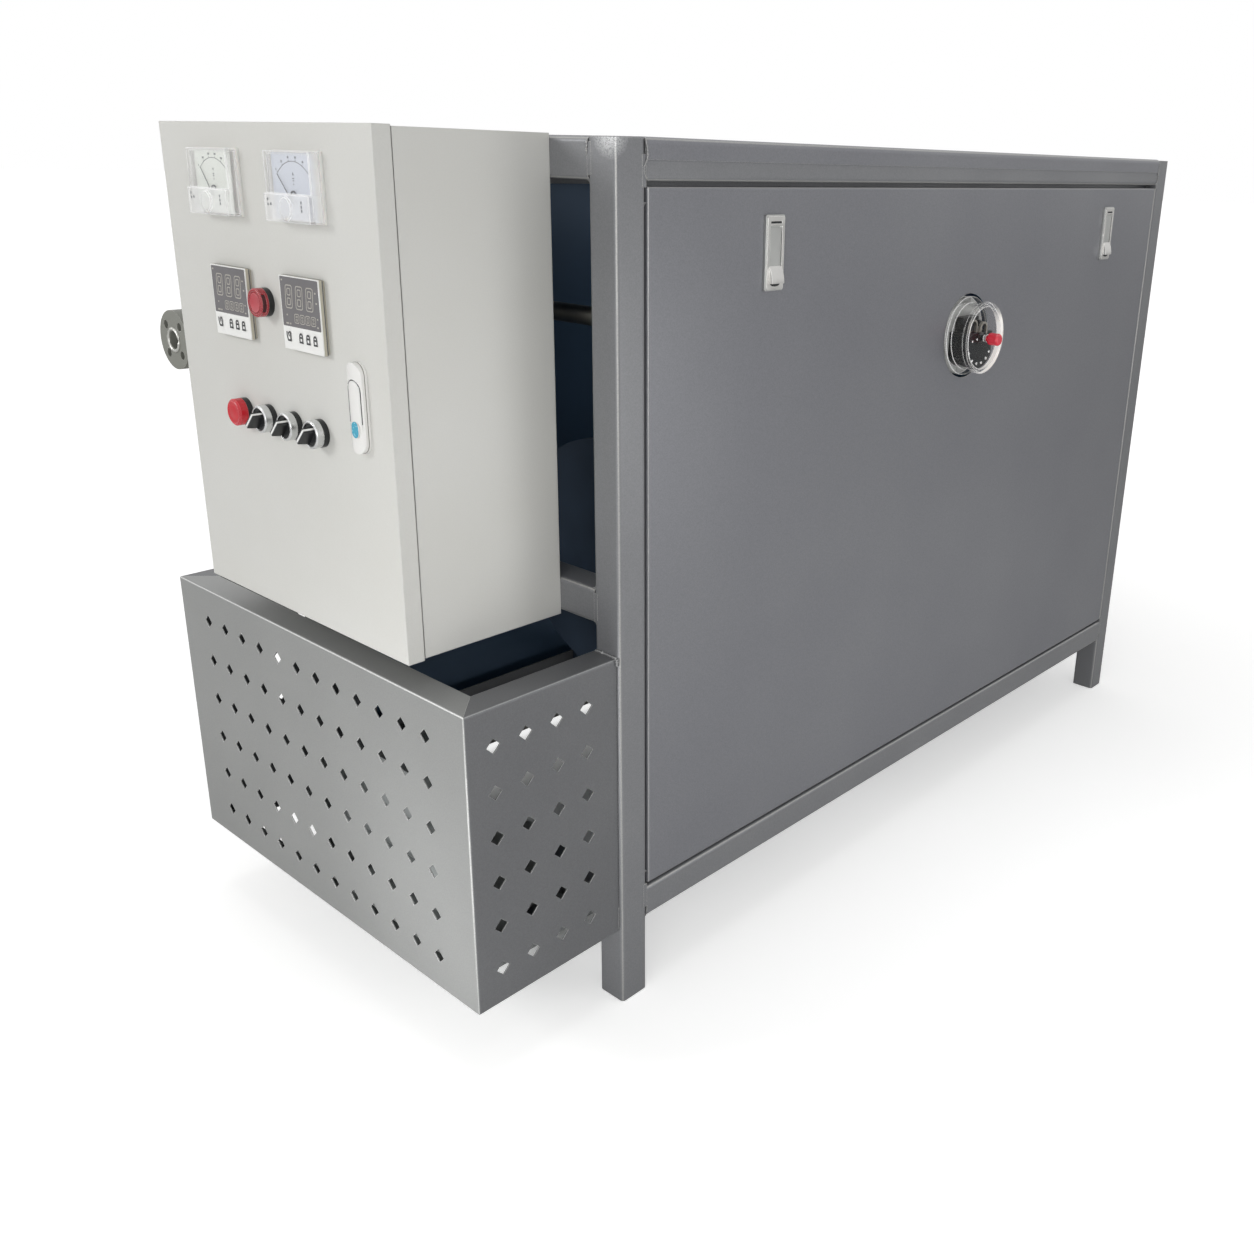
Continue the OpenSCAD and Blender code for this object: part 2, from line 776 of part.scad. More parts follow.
// Folded door with openings for the instruments and lugs for the two concealed hinges.
module cabinet_door() {
    lug_step = hinge_arm_t / 2 + hinge_play;
    window = controller_body_w + 2 * cutout_play;
    color(cabinet_cream) from_foot() difference() {
        union() {
            difference() {
                translate([-cab_d, cab_y, cab_z]) cube([door_d, cab_w, cab_h]);
                translate([-cab_d + cab_t, cab_y + cab_t, cab_z + cab_t])
                    cube([door_d, cab_w - 2 * cab_t, cab_h - 2 * cab_t]);
            }
            for (z = hinge_levels) {
                hinge_lug(z + lug_step);
                hinge_lug(z - lug_step - hinge_lug_t);
            }
        }
        for (z = hinge_levels) {
            translate([-hinge_x, hinge_y, z - lug_step - hinge_lug_t - cut])
                cylinder(d = hinge_pin_d + hinge_fit, h = 2 * (lug_step + hinge_lug_t + cut));
            translate([-hinge_x - hinge_notch, cab_y + cab_w - cab_t - cut, z - lug_step])
                cube([door_d, cab_t + 2 * cut, 2 * lug_step]);
        }
        for (y = [meter_left, meter_right]) {
            on_door(cab_mid_y + y, cab_z + meter_up) through(meter_barrel_d + 2 * cutout_play);
        }
        for (y = [controller_left, controller_right]) {
            on_door(cab_mid_y + y, cab_z + controller_up) translate([0, 0, -cab_t - cut])
                block(window, window, cab_t + 2 * cut);
        }
        for (y = concat([lamp_y], selector_ys)) {
            on_door(y, switch_z) through(switch_stem_d + 2 * cutout_play);
        }
        on_door(buzzer_y, buzzer_z) through(switch_stem_d + 2 * cutout_play);
        on_door(cab_y + handle_inset, cab_z + handle_up) through(handle_stem_d + 2 * cutout_play);
    }
}

// Round hole through the door's sheet.
module through(d) {
    translate([0, 0, -cab_t - cut]) cylinder(d = d, h = cab_t + 2 * cut);
}

// Arms on the cabinet's far wall, each with the pin that the door turns on.
module door_hinges() {
    pin_l = hinge_arm_t + 2 * (hinge_play + hinge_lug_t);
    color(bright_metal) from_foot() for (z = hinge_levels) {
        translate([-hinge_x, hinge_y - hinge_arm_w / 2, z - hinge_arm_t / 2])
            cube([hinge_x - body_x + 2 * hinge_reach, hinge_arm_w, hinge_arm_t]);
        translate([-hinge_x, hinge_y, z - hinge_arm_t / 2]) cylinder(d = hinge_arm_w, h = hinge_arm_t);
        translate([-hinge_x, hinge_y, z - pin_l / 2]) cylinder(d = hinge_pin_d, h = pin_l);
    }
}

// Place of the handle's push button on the handle.
module at_button(lift) {
    on_door(cab_y + handle_inset, cab_z + handle_up)
        translate([-handle_h * handle_button_share, 0, lift]) children();
}

// Outline of the lever in the handle's face.
module lever_outline(w) {
    top = handle_h * handle_lever_top_share;
    translate([top - handle_lever_w / 2, 0]) circle(d = w);
    translate([-handle_h, -w / 2]) square([handle_h + top - handle_lever_w / 2, w]);
}

// Narrow groove round the lever's upper end and along its sides.
module lever_groove() {
    difference() {
        lever_outline(handle_lever_w + 2 * handle_groove);
        lever_outline(handle_lever_w);
        translate([-handle_h, -handle_w]) square([handle_h * (1 - handle_groove_share), 2 * handle_w]);
    }
}

// Long crowned plastic handle on a thin base, with a grooved lever and a place for its push button.
module door_handle() {
    color(trim_white) from_foot() difference() {
        on_door(cab_y + handle_inset, cab_z + handle_up) {
            linear_extrude(handle_base_t) pill(handle_h, handle_w);
            difference() {
                intersection() {
                    linear_extrude(handle_d) pill(handle_h - 2 * handle_step, handle_body_w);
                    translate([-handle_h / 2, 0, handle_d - handle_crown_r]) rotate([0, 90, 0])
                        cylinder(r = handle_crown_r, h = handle_h, $fn = 128);
                }
                translate([0, 0, handle_d - handle_groove_d])
                    linear_extrude(handle_groove_d + cut) lever_groove();
            }
            translate([0, 0, -handle_stem_l]) cylinder(d = handle_stem_d, h = handle_stem_l);
        }
        at_button(handle_d - handle_groove_d)
            linear_extrude(handle_groove_d + cut) pill(handle_button_h, handle_button_w);
    }
}

module handle_button() {
    color("#3f9fc0") from_foot() at_button(handle_d - handle_groove_d)
        linear_extrude(handle_groove_d + handle_button_proud)
            pill(handle_button_h - 2 * cutout_play, handle_button_w - 2 * cutout_play);
}

// Meter plate on the door with its dial, and its round movement behind the door.
module meter_base(y) {
    inner_h = meter_h - 2 * meter_wall - 2 * cutout_play;
    inner_w = meter_w - 2 * meter_wall - 2 * cutout_play;
    on_door(cab_mid_y + y, cab_z + meter_up) {
        block(meter_h + 2 * meter_step, meter_w + 2 * meter_step, meter_plate_t);
        block(inner_h, inner_w, meter_plate_t + meter_dial_t);
        translate([0, 0, -meter_barrel_l]) cylinder(d = meter_barrel_d, h = meter_barrel_l + meter_plate_t);
    }
}

// Clear hollow cover with a deeper box across its lower part and a round boss on the box.
module meter_cover(y) {
    box_h = meter_h * meter_box_share;
    on_door(cab_mid_y + y, cab_z + meter_up) translate([0, 0, meter_plate_t]) difference() {
        union() {
            block(meter_h, meter_w, meter_d);
            translate([-meter_h / 2, -meter_w / 2, 0]) cube([box_h, meter_w, meter_d + meter_box_proud]);
            translate([box_h / 2 - meter_h / 2, 0, meter_d])
                cylinder(d = box_h * meter_boss_share, h = meter_box_proud + meter_boss_proud);
        }
        translate([0, 0, -cut])
            block(meter_h - 2 * meter_wall, meter_w - 2 * meter_wall, meter_d - meter_wall + cut);
    }
}

module meter_base_left() { color(trim_white) from_foot() meter_base(meter_left); }
module meter_base_right() { color(trim_white) from_foot() meter_base(meter_right); }
module meter_cover_left() { color(clear_plastic) from_foot() meter_cover(meter_left); }
module meter_cover_right() { color(clear_plastic) from_foot() meter_cover(meter_right); }

// Square temperature controller with a stepped bezel, a sunk display window and keys under it.
module controller(y) {
    window_h = controller_w * controller_window_share;
    window_w = controller_w - 2 * controller_rim;
    keys_x = -controller_w / 2 + (controller_w - window_h - controller_rim) / 2;
    back_w = controller_w - 2 * controller_step;
    sink_z = controller_d - controller_sink;
    on_door(cab_mid_y + y, cab_z + controller_up) {
        block(back_w, back_w, controller_back_t + cut);
        difference() {
            translate([0, 0, controller_back_t])
                block(controller_w, controller_w, controller_d - controller_back_t);
            translate([controller_w / 2 - controller_rim - window_h, -window_w / 2, sink_z])
                cube([window_h, window_w, controller_sink + cut]);
        }
        for (share = key_shares) {
            translate([keys_x, controller_w * share, sink_z])
                block(key_w, key_w, controller_sink + key_proud);
        }
        translate([0, 0, -controller_body_l])
            block(controller_body_w, controller_body_w, controller_body_l + controller_back_t);
    }
}

module controller_left_unit() { color(trim_white) from_foot() controller(controller_left); }
module controller_right_unit() { color(trim_white) from_foot() controller(controller_right); }

// Round head on the door with its stem behind the door.
module switch_stem() {
    translate([0, 0, -switch_stem_l]) cylinder(d = switch_stem_d, h = switch_stem_l + collar_t + cut);
}

// Red cap with a bevelled edge and a sunk face, its foot on the collar.
module cap(l) {
    r = switch_d / 2;
    translate([0, 0, collar_t]) rotate_extrude() polygon([
        [0, 0],
        [r, 0],
        [r, l - cap_edge],
        [r - cap_edge, l],
        [r - cap_rim, l],
        [r - cap_rim, l - cap_sink],
        [0, l - cap_sink]
    ]);
}

// Buzzer cap with its sound slot on the handle's side.
module buzzer() {
    color(lamp_red) from_foot() on_door(buzzer_y, buzzer_z) {
        switch_stem();
        difference() {
            cap(buzzer_l);
            translate([-buzzer_slot_h / 2, -switch_d / 2 - cut, collar_t + buzzer_slot_back])
                cube([buzzer_slot_h, buzzer_slot_d + cut, buzzer_slot_w]);
        }
    }
}

module lamp() {
    color(lamp_red) from_foot() on_door(lamp_y, switch_z) {
        switch_stem();
        cap(lamp_l);
    }
}

// Black rings between the round heads and the door.
module switch_collars() {
    color(black_plastic) from_foot() {
        for (y = concat([lamp_y], selector_ys)) {
            on_door(y, switch_z) collar();
        }
        on_door(buzzer_y, buzzer_z) collar();
    }
}

module collar() {
    difference() {
        cylinder(d = switch_d, h = collar_t);
        translate([0, 0, -cut]) cylinder(d = switch_stem_d + 2 * knob_fit, h = collar_t + 2 * cut);
    }
}

// Bright sleeves that the selector knobs turn in.
module selector_bezels() {
    color(bright_metal) from_foot() for (y = selector_ys) {
        on_door(y, switch_z) difference() {
            union() {
                switch_stem();
                translate([0, 0, collar_t]) cylinder(d = switch_d, h = bezel_l - cap_edge);
                translate([0, 0, collar_t + bezel_l - cap_edge])
                    cylinder(d1 = switch_d, d2 = switch_d - 2 * cap_edge, h = cap_edge);
            }
            translate([0, 0, collar_t + bezel_l - knob_sink])
                cylinder(d = switch_d - 2 * bezel_wall, h = knob_sink + cut);
            translate([0, 0, collar_t + bezel_l - knob_sink - knob_shaft_l])
                cylinder(d = knob_shaft_d + knob_fit, h = knob_sink + knob_shaft_l);
        }
    }
}

// Selector knob: disc and shaft in the sleeve, tapered grip bar turned to the right.
module selector_knob(y) {
    seat = collar_t + bezel_l - knob_sink + knob_play;
    on_door(y, switch_z) translate([0, 0, seat]) rotate([0, 0, knob_turn]) {
        cylinder(d = switch_d - 2 * bezel_wall - 2 * knob_play, h = knob_disc_t);
        translate([-knob_bar_l / 2, 0, 0]) rotate([90, 0, 90]) linear_extrude(knob_bar_l) polygon([
            [-knob_bar_base / 2, 0],
            [knob_bar_base / 2, 0],
            [knob_bar_tip / 2, knob_bar_t],
            [-knob_bar_tip / 2, knob_bar_t]
        ]);
        translate([0, 0, -knob_shaft_l]) cylinder(d = knob_shaft_d, h = knob_shaft_l);
    }
}

module selector_knob_1() { color(black_plastic) from_foot() selector_knob(selector_ys[0]); }
module selector_knob_2() { color(black_plastic) from_foot() selector_knob(selector_ys[1]); }
module selector_knob_3() { color(black_plastic) from_foot() selector_knob(selector_ys[2]); }

// Rows of square holes that stand on their corners, deep enough to pass through the guard's sheet.
module hole_field(first, cols) {
    linear_extrude(guard_t + 2 * cut) for (i = [0 : cols - 1], j = [0 : hole_rows - 1]) {
        translate([first + i * hole_pitch, row_first + j * row_pitch])
            rotate(45) square(hole_side, center = true);
    }
}

// Solid with the guard's outline, drawn in on all sides by a step and rounded along its edges.
module guard_block(step, depth, r) {
    w = guard_w - 2 * step;
    h = guard_h - 2 * step;
    intersection() {
        translate([step - guard_d, guard_back - step, guard_z + step]) rotate([0, 0, -90])
            fold_block(w, depth, h, r);
        translate([step - guard_d, guard_inset + step, guard_z + step]) rotate([90, 0, 90])
            linear_extrude(depth) round_rect(w, h, r);
    }
}

// The guard's three sheets with their folded flanges, before the holes.
module guard_shell() {
    difference() {
        guard_block(0, guard_d - guard_gap, guard_bend);
        guard_block(guard_t, guard_d, fold_r);
        translate([guard_flange - guard_d, guard_inset + guard_flange, guard_z - cut])
            cube([guard_d, guard_w - 2 * guard_flange, guard_h + 2 * cut]);
    }
}

// Front of the guard: perforated sheet between two flanges with mitred ends.
module guard_front() {
    color(guard_grey) from_foot() difference() {
        intersection() {
            guard_shell();
            translate([0, 0, guard_z - cut]) linear_extrude(guard_h + 2 * cut) polygon([
                [-guard_d - cut, guard_inset - cut],
                [-guard_d - cut, guard_back + cut],
                [guard_mitre - guard_d, guard_back - guard_mitre],
                [guard_mitre - guard_d, guard_inset + guard_mitre]
            ]);
        }
        translate([-guard_d - cut, guard_back, guard_z]) rotate([90, 0, -90])
            mirror([0, 0, 1]) hole_field(front_first, front_cols);
    }
}

// Side of the guard: the same sheet and flanges, with a mitre at the front end.
module guard_side() {
    difference() {
        intersection() {
            guard_shell();
            translate([0, 0, guard_z - cut]) linear_extrude(guard_h + 2 * cut) polygon([
                [-guard_d - cut, guard_inset - cut],
                [guard_mitre - guard_d, guard_inset + guard_mitre],
                [cut, guard_inset + guard_mitre],
                [cut, guard_inset - cut]
            ]);
        }
        translate([-guard_d, guard_inset + guard_t + cut, guard_z]) rotate([90, 0, 0])
            hole_field(side_first, side_cols);
    }
}

module guard_near() { color(guard_grey) from_foot() guard_side(); }
module guard_far() { color(guard_grey) from_foot() far_side() guard_side(); }

// Plate under the lower end rail that carries the pump set.
module pump_base() {
    base_l = motor_l + coupling_l + pump_w + 2 * base_over;
    color(frame_grey) from_foot() translate([-base_reach, motor_y - base_over, base_z])
        cube([base_reach + tube, base_l, base_t]);
}

// Finned motor with feet, fan cowl and terminal box, its shaft along Y.
module pump_motor() {
    fins_l = motor_l - cowl_l;
    color(black_plastic) from_foot() translate([-motor_x, motor_y, motor_z]) {
        rotate([-90, 0, 0]) {
            cylinder(d = motor_d, h = cowl_l);
            translate([0, 0, cowl_l]) linear_extrude(fins_l) {
                circle(d = motor_d - 2 * fin_h);
                for (i = [0 : fin_count - 1]) {
                    rotate(i * 360 / fin_count) translate([0, -fin_t / 2]) square([motor_d / 2, fin_t]);
                }
            }
        }
        for (y = [cowl_l + motor_foot_w, motor_l - motor_foot_w]) {
            translate([-motor_foot_span / 2, y - motor_foot_w / 2, -shaft_h])
                cube([motor_foot_span, motor_foot_w, motor_foot_t]);
            translate([-motor_foot_span / 4, y - motor_foot_w / 2, -shaft_h])
                cube([motor_foot_span / 2, motor_foot_w, shaft_h]);
        }
        translate([-terminal_w / 2, cowl_l + motor_foot_w, 0])
            cube([terminal_w, terminal_w, motor_d / 2 + terminal_h]);
    }
}

// Pump casing beside the motor, with a coupling and a port toward the drum.
module oil_pump() {
    color(frame_grey) from_foot() translate([-motor_x, 0, motor_z]) {
        translate([0, motor_y + motor_l, 0]) rotate([-90, 0, 0])
            cylinder(d = coupling_d, h = coupling_l + pump_w / 2);
        translate([0, pump_y, 0]) rotate([-90, 0, 0]) cylinder(d = pump_d, h = pump_w);
        translate([-pump_foot_w / 2, pump_y, -shaft_h]) cube([pump_foot_w, pump_w, shaft_h]);
        translate([0, pump_y + pump_w / 2, 0]) rotate([0, 90, 0])
            cylinder(d = pump_port_d, h = pump_d / 2 + pipe_d / 2);
    }
}

// Pipe from the flange to the drum's crown and pipe from the pump to the drum's belly.
module oil_pipes() {
    pump_mid_y = pump_y + pump_w / 2;
    flange_run = flange_x - flange_t + oil_turn_x - oil_bend;
    port_x = -motor_x + pump_d / 2 + pipe_d / 2;
    color(bright_metal) from_foot() difference() {
        union() {
            rod_x(-flange_x + flange_t, flange_y, flange_z, pipe_d, flange_run);
            translate([oil_turn_x - oil_bend, flange_y - oil_bend, flange_z]) bend(oil_bend, pipe_d);
            rod_y(oil_turn_x, drum_mid_y + oil_bend, flange_z, pipe_d, flange_y - drum_mid_y - 2 * oil_bend);
            translate([oil_turn_x, drum_mid_y + oil_bend, flange_z - oil_bend])
                rotate([90, 0, -90]) bend(oil_bend, pipe_d);
            translate([oil_turn_x, drum_mid_y, drum_z])
                cylinder(d = pipe_d, h = flange_z - oil_bend - drum_z);
            rod_x(port_x, pump_mid_y, motor_z, pipe_d, pump_pipe_x - oil_bend - port_x);
            translate([pump_pipe_x - oil_bend, pump_mid_y, motor_z + oil_bend])
                rotate([-90, 0, 0]) bend(oil_bend, pipe_d);
            translate([pump_pipe_x, pump_mid_y, motor_z + oil_bend])
                cylinder(d = pipe_d, h = drum_z - motor_z - oil_bend);
        }
        drum_volume();
        rod_x(-flange_x, flange_y, flange_z, pipe_bore, flange_x + oil_turn_x - oil_bend);
    }
}

// Four-hole flange that faces out of the control end.
module oil_flange() {
    color(frame_grey) from_foot() difference() {
        rod_x(-flange_x, flange_y, flange_z, flange_d, flange_t);
        rod_x(-flange_x - cut, flange_y, flange_z, pipe_bore, flange_t + 2 * cut);
        for (a = [45 : 90 : 315]) {
            rod_x(-flange_x - cut, flange_y + flange_pcd / 2 * cos(a), flange_z + flange_pcd / 2 * sin(a),
                flange_hole_d, flange_t + 2 * cut);
        }
    }
}

// Closed drum with a thick collar at the heater end.
module heater_drum() {
    color(bright_metal) from_foot() difference() {
        union() {
            drum_volume();
            rod_x(drum_x, drum_mid_y, drum_z, drum_collar_d, drum_collar_t);
        }
        rod_x(drum_x + drum_end_t, drum_mid_y, drum_z, drum_d - 2 * drum_wall, drum_l - 2 * drum_end_t);
    }
}

// Plates across the lower rails that the drum lies in.
module drum_saddles() {
    color(frame_grey) from_foot() for (share = [saddle_ends_share, 1 - saddle_ends_share]) {
        translate([drum_x + drum_l * share - saddle_t / 2, 0, 0]) rotate([90, 0, 90])
            linear_extrude(saddle_t) difference() {
                union() {
                    translate([saddle_step, rail_top]) square([frame_w - 2 * saddle_step, saddle_foot_h]);
                    translate([drum_mid_y - saddle_w / 2, rail_top]) square([saddle_w, drum_z - rail_top]);
                }
                translate([drum_mid_y, drum_z]) circle(d = drum_d + 2 * drum_seat, $fn = 128);
            }
    }
}

post_front_left();
post_back_left();
post_front_right();
post_back_right();
top_rail_front();
top_rail_back();
top_rail_left();
top_rail_right();
bottom_rail_front();
bottom_rail_back();
bottom_rail_left();
bottom_rail_right();
middle_rail();
front_panel();
back_panel();
end_panel();
roof_panel();
latch_near();
latch_far();
gauge_case();
gauge_window();
gauge_knob();
gauge_pipe();
cabinet_body();
cabinet_door();
door_hinges();
door_handle();
handle_button();
meter_base_left();
meter_base_right();
meter_cover_left();
meter_cover_right();
controller_left_unit();
controller_right_unit();
buzzer();
lamp();
switch_collars();
selector_bezels();
selector_knob_1();
selector_knob_2();
selector_knob_3();
guard_front();
guard_near();
guard_far();
pump_base();
pump_motor();
oil_pump();
oil_pipes();
oil_flange();
heater_drum();
drum_saddles();
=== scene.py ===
import math
import random

import bmesh
import bpy
from mathutils import Euler, Matrix, Vector


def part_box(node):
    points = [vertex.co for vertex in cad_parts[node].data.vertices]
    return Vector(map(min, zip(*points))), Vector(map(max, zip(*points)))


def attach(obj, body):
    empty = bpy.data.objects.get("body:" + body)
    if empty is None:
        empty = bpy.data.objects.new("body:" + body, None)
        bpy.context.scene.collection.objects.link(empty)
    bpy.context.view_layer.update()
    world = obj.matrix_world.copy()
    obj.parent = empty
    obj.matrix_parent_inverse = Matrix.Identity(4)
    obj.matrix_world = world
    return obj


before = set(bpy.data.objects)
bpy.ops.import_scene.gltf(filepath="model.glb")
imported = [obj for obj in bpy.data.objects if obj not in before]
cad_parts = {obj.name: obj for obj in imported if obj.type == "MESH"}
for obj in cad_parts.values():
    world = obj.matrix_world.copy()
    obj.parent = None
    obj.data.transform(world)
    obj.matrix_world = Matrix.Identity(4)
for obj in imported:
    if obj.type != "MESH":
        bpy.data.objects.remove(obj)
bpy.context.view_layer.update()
mm = 0.001
scene = bpy.context.scene


# sRGB hex to the linear values the shaders take
def toLinear(hexText):
    parts = [int(hexText[i:i + 2], 16) / 255 for i in (1, 3, 5)]
    return [c / 12.92 if c <= 0.04045 else ((c + 0.055) / 1.055) ** 2.4 for c in parts] + [1.0]


# a constant on one of a node's sockets, a colour as sRGB hex
def setSocket(node, key, value):
    node.inputs[key].default_value = toLinear(value) if isinstance(value, str) else value


# links into a node: a source is a socket, or a node that gives its first working output
def connect(tree, node, wires):
    for key, source in wires.items():
        if isinstance(source, bpy.types.Node):
            source = next(socket for socket in source.outputs if socket.enabled)
        tree.links.new(source, node.inputs[key])


# one shader node with its settings, its constants and its links
def addNode(tree, kind, values=(), wires=()):
    made = tree.nodes.new("ShaderNode" + kind)
    for key, value in dict(values).items():
        if isinstance(key, str) and hasattr(made, key):
            setattr(made, key, value)
        else:
            setSocket(made, key, value)
    connect(tree, made, dict(wires))
    return made


def newFinish(name, values):
    finish = bpy.data.materials.new(name)
    finish.use_nodes = True
    tree = finish.node_tree
    shader = tree.nodes["Principled BSDF"]
    for key, value in values.items():
        setSocket(shader, key, value)
    return finish, tree, shader, addNode(tree, "TexCoord").outputs["Object"]


# a soft noise whose lumps are about sizeMm across
def lumps(sizeMm, detail=2.0):
    return {"Scale": 1 / (sizeMm * mm), "Detail": detail, "Roughness": 0.55}


colourMix = {"data_type": "RGBA"}  # input 0 is the share, 6 and 7 are the two colours


# how near a point is to a cut or moulded edge, and the softened normal there
def softEdges(tree, radiusMm):
    soft = addNode(tree, "Bevel", {"samples": 4, "Radius": radiusMm * mm})
    flat = addNode(tree, "NewGeometry").outputs["Normal"]
    turn = addNode(tree, "VectorMath", {"operation": "DOT_PRODUCT"}, {0: soft, 1: flat})
    edge = addNode(tree, "MapRange", {"From Min": 0.985, "From Max": 0.86}, {"Value": turn})
    return edge, soft


flakeMm = 1.3  # real flake is many times finer and would not show


# Grey stoving enamel with aluminium flake, sprayed on steel tube and sheet and baked. The flake gives a satin
# sheen and a fine grain. Rounded corners, folds and cut edges are painted paler in patches: a painted
# highlight.
def sprayedGrey(name, look):
    finish, tree, shader, place = newFinish(name, {"Metallic": 0.3})
    grain = addNode(tree, "TexNoise", lumps(flakeMm, 3.0), {"Vector": place})
    cloud = addNode(tree, "TexNoise", lumps(look["cloudMm"]), {"Vector": place})
    edge, soft = softEdges(tree, look["edgeMm"])
    # folds and rounded corners are the faces that look squarely along no axis
    normal = addNode(tree, "NewGeometry").outputs["Normal"]
    bare = addNode(tree, "VectorMath", {"operation": "ABSOLUTE"}, {0: normal})
    parts = addNode(tree, "SeparateXYZ", {}, {"Vector": bare}).outputs
    level = addNode(tree, "Math", {"operation": "MAXIMUM"}, {0: parts["X"], 1: parts["Y"]})
    square = addNode(tree, "Math", {"operation": "MAXIMUM"}, {0: level, 1: parts["Z"]})
    # folds, corners and cut edges are painted paler, broken up by the grain: a painted highlight
    bend = addNode(tree, "MapRange", {"From Min": 0.88, "From Max": 0.74, "To Max": look["edgeHighlight"]},
                   {"Value": square})
    foldAndEdgeHighlight = addNode(tree, "Math", {"operation": "MAXIMUM"}, {0: bend, 1: edge})
    patchy = addNode(tree, "MapRange", {"From Min": 0.3, "From Max": 0.6, "To Min": 0.6}, {"Value": grain})
    edgeHighlight = addNode(tree, "Math", {"operation": "MULTIPLY"}, {0: foldAndEdgeHighlight, 1: patchy})
    fleck = addNode(tree, "MapRange", {"From Min": 0.25, "From Max": 0.75}, {"Value": grain})
    drift = addNode(tree, "MapRange", {"From Min": 0.3, "From Max": 0.7}, {"Value": cloud})
    sprayed = addNode(tree, "Mix", {**colourMix, 6: look["dark"], 7: look["light"]}, {0: fleck})
    clouded = addNode(tree, "Mix", {**colourMix, "blend_type": "MULTIPLY", 7: look["cloud"]},
                      {0: drift, 6: sprayed})
    colour = addNode(tree, "Mix", {**colourMix, 7: look["edge"]}, {0: edgeHighlight, 6: clouded})
    if "inside" in look:
        # sheet faces that look at the middle of the machine are painted a dark blue-grey: painted shade for
        # the dim inside
        facing = addNode(tree, "TexCoord").outputs["Normal"]
        away = addNode(tree, "VectorMath", {"operation": "SUBTRACT", 1: look["middle"]}, {0: place})
        outward = addNode(tree, "VectorMath", {"operation": "DOT_PRODUCT"}, {0: away, 1: facing})
        inner = addNode(tree, "Math", {"operation": "LESS_THAN", 1: 0.0}, {0: outward})
        colour = addNode(tree, "Mix", {**colourMix, 7: look["inside"]}, {0: inner, 6: colour})
    if "ground" in look:
        # a bright patch of ground metal below the welded joint, painted brighter as a highlight that fades
        # out downwards
        ground = look["ground"]
        reach = addNode(tree, "VectorMath", {"operation": "DISTANCE", 1: ground["spot"]}, {0: place})
        fade = addNode(tree, "MapRange", {"From Min": ground["faded"], "From Max": ground["bright"]},
                       {"Value": reach})
        patchGrain = addNode(tree, "MapRange", {"From Min": 0.32, "From Max": 0.55}, {"Value": grain})
        bright = addNode(tree, "Math", {"operation": "MULTIPLY"}, {0: fade, 1: patchGrain})
        colour = addNode(tree, "Mix", {**colourMix, 7: ground["colour"]}, {0: bright, 6: colour})
    sheen = addNode(tree, "MapRange", {"To Min": look["gloss"] - 0.04, "To Max": look["gloss"] + 0.05},
                    {"Value": cloud})
    pebble = addNode(tree, "Bump", {"Strength": 0.25, "Distance": 0.1 * mm},
                     {"Height": grain, "Normal": soft})
    connect(tree, shader, {"Base Color": colour, "Roughness": sheen, "Normal": pebble})
    return finish


frameEnamel = sprayedGrey("frame stoving enamel", {
    "light": "#8a8b8d", "dark": "#7b7c7f", "cloud": "#f5f5f6", "edge": "#c4c3be", "edgeHighlight": 0.6,
    "cloudMm": 160, "edgeMm": 1.2, "gloss": 0.38,
    "ground": {"spot": (-0.026, -0.012, 0.985), "faded": 27 * mm, "bright": 5 * mm, "colour": "#e4e5e6"}})
panelEnamel = sprayedGrey("panel stoving enamel", {
    "light": "#88898d", "dark": "#797a7f", "cloud": "#f3f3f5", "edge": "#bdbcb8", "edgeHighlight": 0.65,
    "cloudMm": 300, "edgeMm": 1.2, "gloss": 0.36, "inside": "#4d657f", "middle": (0.63, 0.28, 0.5)})
# the guard's front sheet carries a lighter copy of the guard paint: a painted highlight
guardFrontLitEnamel = sprayedGrey("guard front enamel painted lighter", {
    "light": "#9b9c9b", "dark": "#8f908f", "cloud": "#f5f5f5", "edge": "#e2e3e1", "edgeHighlight": 0.9,
    "cloudMm": 200, "edgeMm": 1.0, "gloss": 0.36})
# the side sheets carry a darker copy of the same paint than the front: painted shade
guardSideShadedEnamel = sprayedGrey("guard side enamel painted darker", {
    "light": "#757678", "dark": "#68696b", "cloud": "#f3f3f4", "edge": "#b9bab8", "edgeHighlight": 0.6,
    "cloudMm": 200, "edgeMm": 1.0, "gloss": 0.4})
print("grey enamels mixed")

coatSpeckMm, coatCloudMm = 1.2, 180


# Epoxy powder coat, blown on dry and baked: thick and even, with the fine orange peel of the melt.
def powderCoat(name, look):
    finish, tree, shader, place = newFinish(name, {"Roughness": look["gloss"], "IOR": 1.5})
    peel = addNode(tree, "TexNoise", lumps(look["peelMm"], 1.0), {"Vector": place})
    speck = addNode(tree, "TexNoise", lumps(coatSpeckMm), {"Vector": place})
    cloud = addNode(tree, "TexNoise", lumps(coatCloudMm), {"Vector": place})
    edge, soft = softEdges(tree, look["edgeMm"])
    tone = addNode(tree, "Mix", {**colourMix, 6: look["dark"], 7: look["light"]}, {0: speck})
    aged = addNode(tree, "Mix", {**colourMix, "blend_type": "MULTIPLY", 7: look["cloud"]},
                   {0: cloud, 6: tone})
    # edges are painted in the lighter edge colour: a painted highlight
    rim = addNode(tree, "Mix", {**colourMix, 7: look["edge"]}, {0: edge, 6: aged})
    skin = addNode(tree, "Bump", {"Strength": 0.35, "Distance": 0.12 * mm}, {"Height": peel, "Normal": soft})
    connect(tree, shader, {"Base Color": rim, "Normal": skin})
    return finish


